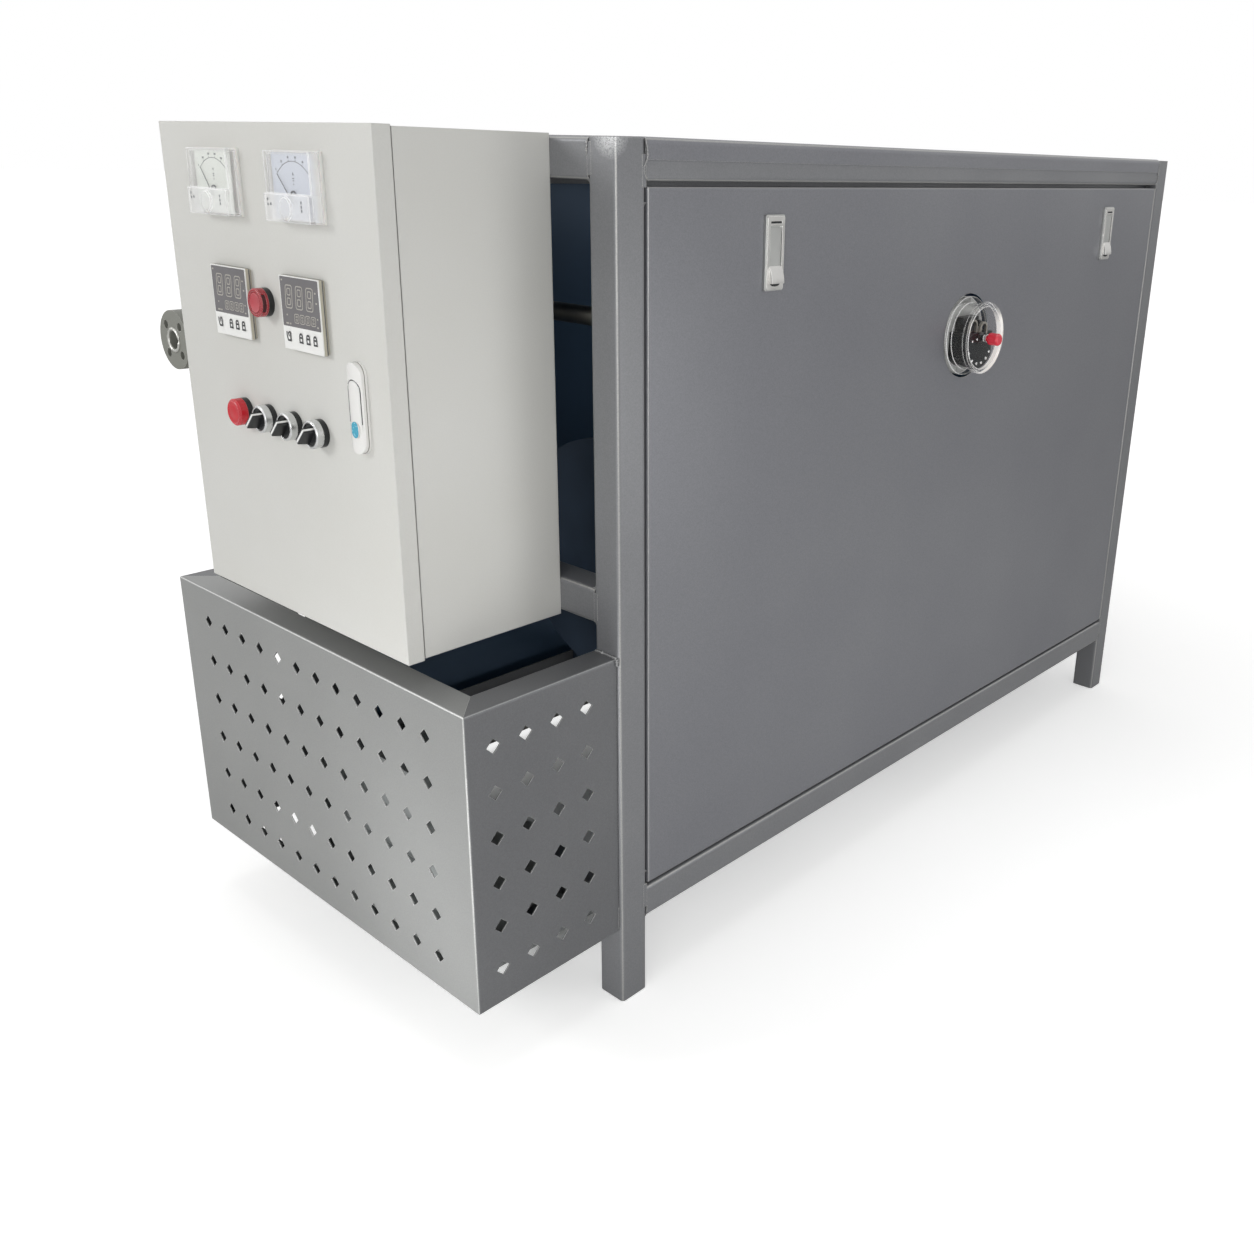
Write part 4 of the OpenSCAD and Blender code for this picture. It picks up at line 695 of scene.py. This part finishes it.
# tack welds that hold the guard to the posts: a run on each upper flange, a lump at its end, a thin seam low
# down. Their points are out of the side sheet and up from its top, or from its bottom for the seam.
guardTacks = {"ripple": 0.12, "pitch": 4.0, "wander": 0.2, "step": 1.0, "proud": 0.2,
              "run": {"radius": 2.5, "seed": 5, "path": ((-34, 0.4), (-2, 0.4), (0.6, -2), (0.8, -9))},
              "lump": {"radius": 3.4, "seed": 9, "path": ((-1, 1), (0.8, -1), (0.8, -4))},
              "seam": {"radius": 1.1, "seed": 12, "path": ((0.1, 2), (0.1, 34))}}
tacks = bmesh.new()
for node, outer in (("guard_near", -1), ("guard_far", 1)):
    low, high = boxMm(node)
    face = low.y if outer < 0 else high.y
    for tack, x, level in (("run", high.x + guardTacks["proud"], high.z),
                           ("lump", high.x + guardTacks["proud"], high.z), ("seam", high.x, low.z)):
        path = [(x, face + outer * a, level + b) for a, b in guardTacks[tack]["path"]]
        addBead(tacks, wholeFrame, path, {**guardTacks, **guardTacks[tack]})
finishPiece("guard_tacks", "frame", guardSideShadedEnamel, tacks, crease=60)
print("welds laid")

# door seal between door and body
doorSeal = {"inset": 7.0, "wide": 9.0, "round": 9.0, "clear": 0.4, "sunk": 0.2}
doorLow, doorHigh = boxMm("cabinet_door")
bodyLow = boxMm("cabinet_body")[0]
wide = doorHigh.y - doorLow.y - 2 * doorSeal["inset"]
tall = doorHigh.z - doorLow.z - 2 * doorSeal["inset"]
seal = bmesh.new()
addLine(seal, doorFace("cabinet_door", 0), roundedOutline(wide, tall, doorSeal["round"]), doorSeal["wide"],
        doorSeal["clear"] - bodyLow.x, doorSeal["sunk"] - doorHigh.x, closed=True)
finishPiece("door_seal", "door", blackRubber, seal)

# moving iron meters: card, scale with small figures, short bars, needle and the ring round its pivot
meterFace = {"cardWide": 75.0, "cardTall": 61.0, "cardRound": 1.0, "card": 0.3, "ink": 0.15,
             "pivot": (0, -17.0), "radius": 40.0, "sweep": 43, "line": 0.55, "tick": 1.6, "tickLine": 0.5,
             "figure": 2.16, "figureOut": 2.295, "unit": 3.0, "unitUp": 11.5,
             "bars": ((7.6, 1.6), (5.6, 1.1), (2.4, 0.8)), "barLine": 0.9,
             "needle": 0.7, "needleFrom": 3.0, "needleShort": 1.5, "needleDepth": (1.6, 2.0),
             "ringUp": -8.0, "ring": 4.2, "ringLine": 1.1, "ringDepth": (1.2, 2.2)}
# on the lower cover: zero screw with its slot, and small marks
meterCover = {"behind": 2.0, "screwUp": 4.2,
              "screw": ((0, -0.4), (2.4, -0.4), (2.4, 0.9), (1.9, 1.3), (0, 1.3)),
              "slot": ((0, 2.4), (0, 6.2)), "slotLine": 1.1, "slotDepth": (1.2, 1.45),
              "marks": ((-33, 20), (-33, 15.5), (-27.5, 16), (27, 19), (27, 15), (27, 11.5)),
              "markHalf": 1.0, "markLine": 2.4, "markDepth": (0.02, 0.15)}
meterKinds = {"left": (dialCardGreen, ("0", "100", "200", "300", "400", "500"), "V", 38),
              "right": (dialCardBlue, ("0", "20", "40", "60", "80", "100"), "A", 43)}
for side, (card, figures, unit, restAngle) in meterKinds.items():
    face = doorFace("meter_base_" + side)
    coverLow, coverHigh = boxMm("meter_cover_" + side)
    front = onDoor((coverLow.y + coverHigh.y) / 2, coverLow.z, coverLow.x + meterCover["behind"])
    pivot, radius, sweep = meterFace["pivot"], meterFace["radius"], meterFace["sweep"]
    paper = meterFace["card"]
    top = paper + meterFace["ink"]
    sheet = bmesh.new()
    outline = roundedOutline(meterFace["cardWide"], meterFace["cardTall"], meterFace["cardRound"], 2)
    addPrism(sheet, face, outline, 0, paper)
    finishPiece("meter_card_" + side, "door", card, sheet)
    ink = bmesh.new()
    addLine(ink, face, arc(pivot, radius, 90 + sweep, 90 - sweep, 36), meterFace["line"], paper, top)
    tickEnd = radius + meterFace["tick"]
    for i, figure in enumerate(figures):
        angle = 90 + sweep - 2 * sweep * i / (len(figures) - 1)
        tick = [spotAt(pivot, radius, angle), spotAt(pivot, tickEnd, angle)]
        addLine(ink, face, tick, meterFace["tickLine"], paper, top)
        spot = spotAt(pivot, tickEnd + meterFace["figureOut"], angle)
        addFigures(ink, face, figure, meterFace["figure"], spot, paper, top)
    addFigures(ink, face, unit, meterFace["unit"], (0, meterFace["unitUp"]), paper, top)
    addLine(ink, front, meterCover["slot"], meterCover["slotLine"], *meterCover["slotDepth"])
    for up, reach in meterFace["bars"]:
        addStroke(ink, face, 0, up, reach, meterFace["barLine"], paper, top)
    for across, up in meterCover["marks"]:
        addStroke(ink, front, across, up, meterCover["markHalf"], meterCover["markLine"],
                  *meterCover["markDepth"])
    finishPiece("meter_scale_" + side, "door", greyInk, ink, crease=30)
    needle = bmesh.new()
    ends = (meterFace["needleFrom"], radius - meterFace["needleShort"])
    addLine(needle, face, [spotAt(pivot, r, 90 + restAngle) for r in ends], meterFace["needle"],
            *meterFace["needleDepth"])
    ring = arc((0, meterFace["ringUp"]), meterFace["ring"], 165, 15, 12)
    addLine(needle, face, ring, meterFace["ringLine"], *meterFace["ringDepth"])
    finishPiece("meter_needle_" + side, "door", greyInk, needle)
    screw = bmesh.new()
    addTurned(screw, front, meterCover["screw"], 24, (0, meterCover["screwUp"]))
    finishPiece("meter_screw_" + side, "door", whiteAbs, screw)
print("meters printed")

# temperature controllers: smoked front film, unlit digits, small lamps and bold key marks
controllerFace = {"sunk": 0.5, "filmWide": 69.4, "filmTall": 48.0, "filmUp": 10.9, "filmRound": 1.2,
                  "filmDepth": (-0.9, 0.12), "print": 0.08,
                  "big": {"wide": 12.0, "tall": 22.0, "stroke": 1.0, "up": 16.0,
                          "across": (-20.0, -1.0, 18.0)},
                  "small": {"wide": 7.8, "tall": 8.6, "stroke": 0.75, "up": -4.4,
                            "across": (-8.5, 1.7, 11.9, 22.1)},
                  "lamps": ((-31, 31.4, 1.2), (-26, -2, 1.0), (-26.5, -10.3, 2.6), (-21, -10.3, 1.2),
                            (29, 23, 1.3), (30, 13.5, 1.3), (30, -1.5, 1.0), (29.5, -9.5, 1.4)),
                  "lampLine": 1.5}
# four keys: the first has a bent hook, the others a padlock; a stroke is a path and whether it closes
keyMarks = {"up": -22.85, "across": (-25.9, -2.9, 10.1, 23.0), "line": 1.9, "depth": (0.5, 0.62),
            "hook": ((((-3.2, 4.2), (-3.2, 0.5), (-1.6, -4.2), (3.2, -4.2), (3.2, 3.6)), False),
                     (((-0.6, 3.6), (0.6, -0.4)), False), (((0.4, 3.9), (3.2, 3.9)), False)),
            "padlock": ((((-2.6, -4.2), (2.6, -4.2), (2.6, 0.4), (-2.6, 0.4)), True),
                        (arc((0, 1.6), 2.4, -5, 185, 8), False))}
# dark seam where the front clips on to the sleeve
caseSeam = {"inset": 0.4, "round": 1.0, "line": 0.7, "depth": (2.2, 3.2)}
digitShares = {"bar": 0.26, "slant": 0.09, "outerRound": 0.2, "innerRound": 0.1}


# unlit digit: the outlines of its seven bars
def addDigit(mesh, place, across, digit, low, high):
    wide, tall = digit["wide"], digit["tall"]
    bar = min(wide, tall) * digitShares["bar"]
    hole = (tall - 3 * bar) / 2
    loops = ((0, wide, tall, "outerRound"), ((hole + bar) / 2, wide - 2 * bar, hole, "innerRound"),
             (-(hole + bar) / 2, wide - 2 * bar, hole, "innerRound"))
    for up, loopWide, loopTall, corner in loops:
        path = [(across + a + digitShares["slant"] * (b + up), digit["up"] + b + up)
                for a, b in roundedOutline(loopWide, loopTall, digitShares[corner] * wide, 3)]
        addLine(mesh, place, path, digit["stroke"], low, high, closed=True)


for side in ("left", "right"):
    unit = "controller_" + side + "_unit"
    low, high = boxMm(unit)
    face = doorFace(unit, low.x + controllerFace["sunk"])
    film = controllerFace["filmDepth"][1]
    top = film + controllerFace["print"]
    pane = bmesh.new()
    outline = roundedOutline(controllerFace["filmWide"], controllerFace["filmTall"],
                             controllerFace["filmRound"], 3)
    outline = [(a, b + controllerFace["filmUp"]) for a, b in outline]
    addPrism(pane, face, outline, *controllerFace["filmDepth"])
    finishPiece("controller_window_" + side, "door", windowGrey, pane)
    digits = bmesh.new()
    for size in ("big", "small"):
        for across in controllerFace[size]["across"]:
            addDigit(digits, face, across, controllerFace[size], film, top)
    for across, up, reach in controllerFace["lamps"]:
        addStroke(digits, face, across, up, reach, controllerFace["lampLine"], film, top)
    finishPiece("controller_digits_" + side, "door", segmentFilm, digits)
    icons = bmesh.new()
    for number, across in enumerate(keyMarks["across"]):
        for mark, closed in keyMarks["padlock" if number else "hook"]:
            path = [(across + a, keyMarks["up"] + b) for a, b in mark]
            addLine(icons, face, path, keyMarks["line"], *keyMarks["depth"], closed)
    finishPiece("controller_icons_" + side, "door", blackInk, icons)
    seam = bmesh.new()
    outline = roundedOutline(high.y - low.y - caseSeam["inset"], high.z - low.z - caseSeam["inset"],
                             caseSeam["round"], 2)
    addLine(seam, doorFace(unit, doorLow.x), outline, caseSeam["line"], *caseSeam["depth"], closed=True)
    finishPiece("controller_seam_" + side, "door", greyInk, seam)
print("controllers printed")

# sounder in the buzzer's cap: membrane, and a dark red piece in the side slot as painted shade
sounder = {"membrane": ((0, -1.2), (9.8, -1.2), (9.8, -0.5), (9.2, -0.1), (8.4, -0.5), (6.2, -0.4),
                        (5.4, -0.7), (0, -0.35)),
           "slotShade": 13.8, "slotShadeReach": 39, "slotShadeDepth": (-5.4, -1.6)}
membrane = bmesh.new()
addTurned(membrane, doorFace("buzzer"), sounder["membrane"], 40)
finishPiece("buzzer_membrane", "door", pinkMembrane, membrane)
slotShade = bmesh.new()
outline = arc((0, 0), sounder["slotShade"], -sounder["slotShadeReach"], sounder["slotShadeReach"], 14)
addPrism(slotShade, doorFace("buzzer"), outline, *sounder["slotShadeDepth"])
finishPiece("buzzer_slot_shade", "door", slotShadeRed, slotShade)

# raised ring and shallow dome on the lamp's lens
lampLens = {"profile": ((0, -0.4), (12.8, -0.4), (12.8, 0.5), (12.2, 0.9), (11.2, 0.5), (10.6, 0.3),
                        (6, 0.9), (0, 1.1))}
lens = bmesh.new()
addTurned(lens, doorFace("lamp"), lampLens["profile"], 40)
finishPiece("lamp_lens", "door", redPolycarbonate, lens)

# white pointer line along the selector bar's front and back down its upper end
selectorPointer = {"lean": -45, "start": -9.4, "end": 10.0, "wide": 2.2, "drop": 11.5, "paint": 0.15,
                   "sunk": 0.1}
half, paint, sunk = selectorPointer["wide"] / 2, selectorPointer["paint"], selectorPointer["sunk"]
start, end = selectorPointer["start"], selectorPointer["end"]
turn = math.radians(selectorPointer["lean"])
along = (0, math.sin(turn), math.cos(turn))
across = (0, -math.cos(turn), math.sin(turn))
for number in ("1", "2", "3"):
    low, high = boxMm("selector_knob_" + number)
    bar = placing((low.x, (low.y + high.y) / 2, (low.z + high.z) / 2), across, along)
    pointer = bmesh.new()
    addPrism(pointer, bar, [(-half, start), (half, start), (half, end), (-half, end)], -sunk, paint)
    outline = [(-half, end - sunk), (half, end - sunk), (half, end + paint), (-half, end + paint)]
    addPrism(pointer, bar, outline, -selectorPointer["drop"], paint)
    finishPiece("selector_pointer_" + number, "knob_" + number, whiteInk, pointer)

# door handle: painted shade as dark strips, one in the groove above the lever's top and one down either side,
# each with its side and width; the gasket seam at the door and the white ring round the button
handleDress = {"leverUp": 17.5, "lever": 10.1, "leverShade": 1.5, "leverShadeDepth": (-2.4, -1.1),
               "sideShades": ((1, 0.9), (-1, 0.55)), "sideShadeEnd": -14.0, "sideShadeDepth": (-2.2, -1.4),
               "gasketWide": 25.6, "gasketTall": 88.6, "gasket": 0.7, "gasketDepth": (2.0, 2.6),
               "ring": 0.9, "ringOut": 0.3, "ringDepth": (-1.6, -0.2)}
lever, leverTop = handleDress["lever"], (0, handleDress["leverUp"])
handle = doorFace("door_handle")
leverShade = bmesh.new()
addLine(leverShade, handle, arc(leverTop, lever, 150, 30, 16), handleDress["leverShade"], *handleDress["leverShadeDepth"])
for side, thick in handleDress["sideShades"]:
    curve = arc(leverTop, lever, 36, 0, 5) + [(lever, handleDress["sideShadeEnd"])]
    addLine(leverShade, handle, [(side * a, b) for a, b in curve], thick, *handleDress["sideShadeDepth"])
finishPiece("handle_lever_shade", "door", blackRubber, leverShade)
gasket = bmesh.new()
outline = roundedOutline(handleDress["gasketWide"], handleDress["gasketTall"],
                         handleDress["gasketWide"] / 2, 10)
addLine(gasket, doorFace("door_handle", doorLow.x), outline, handleDress["gasket"],
        *handleDress["gasketDepth"], closed=True)
finishPiece("handle_gasket", "door", gasketGrey, gasket)
ring = bmesh.new()
buttonLow, buttonHigh = boxMm("handle_button")
halfWide = (buttonHigh.y - buttonLow.y) / 2 + handleDress["ringOut"]
halfTall = (buttonHigh.z - buttonLow.z) / 2 + handleDress["ringOut"]
oval = [(halfWide * a, halfTall * b) for a, b in circle((0, 0), 1, 40)]
addLine(ring, doorFace("handle_button"), oval, handleDress["ring"], *handleDress["ringDepth"], closed=True)
finishPiece("handle_button_ring", "door", glossWhiteNylon, ring)

# painted shade: black strips in each latch's slot, and a dark crescent in the open mouth under the finger
# pull
latchShade = {"faceY": -25.0, "share": 0.9, "wide": 18.4, "tall": 2.1, "round": 0.6, "depth": (-1.8, -0.6),
              "mouthUp": 8.2, "mouthDepth": (-0.3, 0.3),
              "mouth": ((-8.5, 0.4), (-7.5, -1.6), (-4.5, -3.0), (0, -3.5), (4.5, -3.0), (7.5, -1.6),
                        (8.5, 0.4))}
latchShadeParts = bmesh.new()
for node in ("latch_near", "latch_far"):
    low, high = boxMm(node)
    middle = (low.x + high.x) / 2
    place = onFront(middle, low.z + latchShade["share"] * (high.z - low.z), latchShade["faceY"])
    strip = roundedOutline(latchShade["wide"], latchShade["tall"], latchShade["round"], 2)
    addPrism(latchShadeParts, place, strip, *latchShade["depth"])
    place = onFront(middle, low.z + latchShade["mouthUp"], latchShade["faceY"])
    addPrism(latchShadeParts, place, latchShade["mouth"], *latchShade["mouthDepth"])
finishPiece("latch_slot_shade", "frame", blackRubber, latchShadeParts)
print("door fittings and latches dressed")

# weld run round the oil flange's bore
boreWeld = {"radius": 1.9, "ripple": 0.1, "pitch": 5.0, "wander": 0.15, "step": 1.4, "seed": 3,
            "ring": 12.6, "up": 0.2}
bore = bmesh.new()
path = [(a, b, boreWeld["up"]) for a, b in arc((0, 0), boreWeld["ring"], 0, 360, 40)]
addBead(bore, doorFace("oil_flange"), path, boreWeld)
finishPiece("flange_weld", "frame", weldMetal, bore, crease=60)

# gauge movement: bright screws (across, up, radius), arched brackets (across, half width, height, depth),
# black shaft sleeve and the ring behind the knob, which lies in the cup's front pane
gaugeWorks = {"screws": ((-27, -20, 2.0), (-17, -31, 2.0), (-5, -36, 2.2), (8, -36, 2.0), (20, -31, 2.2),
                         (27, -22, 2.0), (-20, -4, 1.6), (-8, -2, 1.8), (8, -4, 1.6), (22, -3, 1.6)),
              "brackets": ((-13, 9.0, 24, -7), (8, 8.0, 20, -3)), "bracketFoot": 4, "strap": 2.6,
              "strapDeep": 4, "bore": 4.0, "sleeve": 4.07, "sleeveFoot": 7.5, "sleeveEnd": 10.2,
              "collar": 5.6, "cupAhead": 10.0}
gaugeFace = boxMm("gauge_case")[0].y
knobLow, knobHigh = boxMm("gauge_knob")
gaugeAcross, gaugeUp = (knobLow.x + knobHigh.x) / 2, (knobLow.z + knobHigh.z) / 2
gaugePlace = onFront(gaugeAcross, gaugeUp, gaugeFace)
sleeveRadius, collar = gaugeWorks["sleeve"], gaugeWorks["collar"]
screws = bmesh.new()
for across, up, radius in gaugeWorks["screws"]:
    head = ((0, -1), (radius, -1), (radius, 1.0), (radius - 0.5, 1.5), (0, 1.8))
    addTurned(screws, gaugePlace, head, 20, (across, up))
addTurned(screws, onFront(gaugeAcross, gaugeUp, gaugeFace - gaugeWorks["cupAhead"]),
          ((sleeveRadius, 0.1), (collar, 0.1), (collar, 1.6), (sleeveRadius, 2.2)), 28)
finishPiece("gauge_screws", "frame", chromePlate, screws)
straps = bmesh.new()
for across, half, tall, depth in gaugeWorks["brackets"]:
    foot = gaugeWorks["bracketFoot"]
    path = [(across - half, foot)] + arc((across, tall - half), half, 180, 0, 12) + [(across + half, foot)]
    addLine(straps, gaugePlace, path, gaugeWorks["strap"], depth, depth + gaugeWorks["strapDeep"])
finishPiece("gauge_brackets", "frame", turnedSteel, straps)
sleeve = bmesh.new()
shaftBore, foot, sleeveEnd = gaugeWorks["bore"], gaugeWorks["sleeveFoot"], gaugeWorks["sleeveEnd"]
addTurned(sleeve, gaugePlace, ((shaftBore, 0.0), (foot, 0.0), (foot, 2.0), (sleeveRadius, 2.6),
                               (sleeveRadius, sleeveEnd), (shaftBore, sleeveEnd)), 28)
finishPiece("gauge_sleeve", "frame", blackNylon, sleeve)
print("flange and gauge dressed")

# pale studio floor: seen straight it is lifted to white, more so far off; its shadow stays, and under the
# machine it keeps its own shade
floorLook = {"half": 40, "down": -0.0006, "colour": "#efefee",
             "middle": (0.45, 0.28, 0.0), "near": 0.8, "far": 3.0, "nearLift": 0.46, "farLift": 0.75,
             "machine": (0.6275, 0.36, 0.0), "machineHalf": (0.64, 0.24, 1.0)}
floorPaint, tree, shader, place = newFinish("pale studio floor", {
    "Base Color": floorLook["colour"], "Roughness": 0.9, "IOR": 1.4, "Emission Color": "#ffffff"})
off = addNode(tree, "VectorMath", {"operation": "DISTANCE", 1: floorLook["middle"]}, {0: place})
lift = addNode(tree, "MapRange", {
    "From Min": floorLook["near"], "From Max": floorLook["far"],
    "To Min": floorLook["nearLift"], "To Max": floorLook["farLift"]}, {"Value": off})
away = addNode(tree, "VectorMath", {"operation": "SUBTRACT", 1: floorLook["machine"]}, {0: place})
shares = addNode(tree, "VectorMath", {"operation": "DIVIDE", 1: floorLook["machineHalf"]}, {0: away})
sides = addNode(tree, "VectorMath", {"operation": "ABSOLUTE"}, {0: shares})
reach = addNode(tree, "SeparateXYZ", {}, {"Vector": sides}).outputs
outer = addNode(tree, "Math", {"operation": "MAXIMUM"}, {0: reach["X"], 1: reach["Y"]})
clear = addNode(tree, "MapRange", {"From Min": 0.95, "From Max": 1.1}, {"Value": outer, "To Max": lift})
seen = addNode(tree, "LightPath").outputs["Is Camera Ray"]
lifted = addNode(tree, "Math", {"operation": "MULTIPLY"}, {0: seen, 1: clear})
connect(tree, shader, {"Emission Strength": lifted})
floorMesh = bpy.data.meshes.new("studio_floor")
corners = [(floorLook["half"] * a, floorLook["half"] * b, floorLook["down"])
           for a, b in ((-1, -1), (1, -1), (1, 1), (-1, 1))]
floorMesh.from_pydata(corners, [], [(0, 1, 2, 3)])
floorMesh.materials.append(floorPaint)
floor = bpy.data.objects.new("studio_floor", floorMesh)
scene.collection.objects.link(floor)

# plain white room: dimmer as a light than as what is seen straight, through clear plastic or mirrored
room = bpy.data.worlds.new("white room")
scene.world = room
room.use_nodes = True
tree = room.node_tree
tree.nodes.clear()
rays = addNode(tree, "LightPath").outputs
through = addNode(tree, "Math", {"operation": "MAXIMUM"},
                  {0: rays["Is Camera Ray"], 1: rays["Is Transmission Ray"]})
shown = addNode(tree, "Math", {"operation": "MAXIMUM"}, {0: through, 1: rays["Is Glossy Ray"]})
level = addNode(tree, "MapRange", {"To Min": 0.4, "To Max": 1.0}, {"Value": shown})
wall = addNode(tree, "Background", {"Color": "#ffffff"}, {"Strength": level})
addNode(tree, "OutputWorld", {}, {"Surface": wall})

# softboxes: place, aim, size in metres, watts, spread in degrees; the post and corner ones have grids that
# keep them off the door, the last two lift the inside of guard and machine
softboxes = {
    "door softbox": ((-2.6, 2.0, 2.0), (-0.2, 0.28, 0.6), 0.9, 35, 180),
    "top softbox": ((0.3, 0.3, 3.4), (0.4, 0.28, 0.5), 2.0, 22, 180),
    "fill softbox": ((-1.55, -1.1, 1.0), (-0.1, 0.1, 0.45), 0.9, 9, 180),
    "side softbox": ((-0.85, -1.05, 0.75), (-0.02, 0.0, 0.55), 0.6, 1.2, 180),
    "post softbox": ((-1.2, -0.55, 0.75), (-0.02, 0.0, 0.65), 0.3, 0.06, 25),
    "panel softbox": ((0.6, -1.0, 0.5), (0.5, 0.0, 0.47), 0.5, 2.3, 180),
    "corner softbox": ((-0.65, -0.05, 0.08), (-0.2, 0.05, 0.2), 0.25, 0.38, 70),
    "guard softbox": ((-0.185, 0.2, 0.2), (0.0, 0.2, 0.2), 0.2, 0.1, 180),
    "inner softbox": ((0.7, 0.28, 0.9), (0.6, 0.28, 0.4), 0.35, 0.4, 180),
}
for name, (spot, aim, size, watts, spread) in softboxes.items():
    lamp = bpy.data.lights.new(name, "AREA")
    lamp.shape = "SQUARE"
    lamp.size = size
    lamp.energy = watts
    lamp.spread = math.radians(spread)
    holder = bpy.data.objects.new(name, lamp)
    holder.location = spot
    holder.rotation_euler = (Vector(aim) - Vector(spot)).to_track_quat("-Z", "Y").to_euler()
    holder.visible_camera = False
    scene.collection.objects.link(holder)
scene.view_settings.view_transform = "Standard"
print("room lit")

# the photo's view: place in metres, turn about X, Y and Z in degrees
photoView = {"place": (-0.8459, -0.9018, 0.9651), "turn": (71.193, -1.651, -49.478), "lens": 34.546,
             "sensor": 36, "shift": (-0.1039, -0.0474)}
eye = bpy.data.cameras.new("photo view")
eye.sensor_width = photoView["sensor"]
eye.lens = photoView["lens"]
eye.shift_x, eye.shift_y = photoView["shift"]
eye.dof.use_dof = False
stand = bpy.data.objects.new("photo view", eye)
turn = Euler([math.radians(degrees) for degrees in photoView["turn"]])
stand.matrix_world = Matrix.LocRotScale(Vector(photoView["place"]), turn, None)
scene.collection.objects.link(stand)
scene.camera = stand
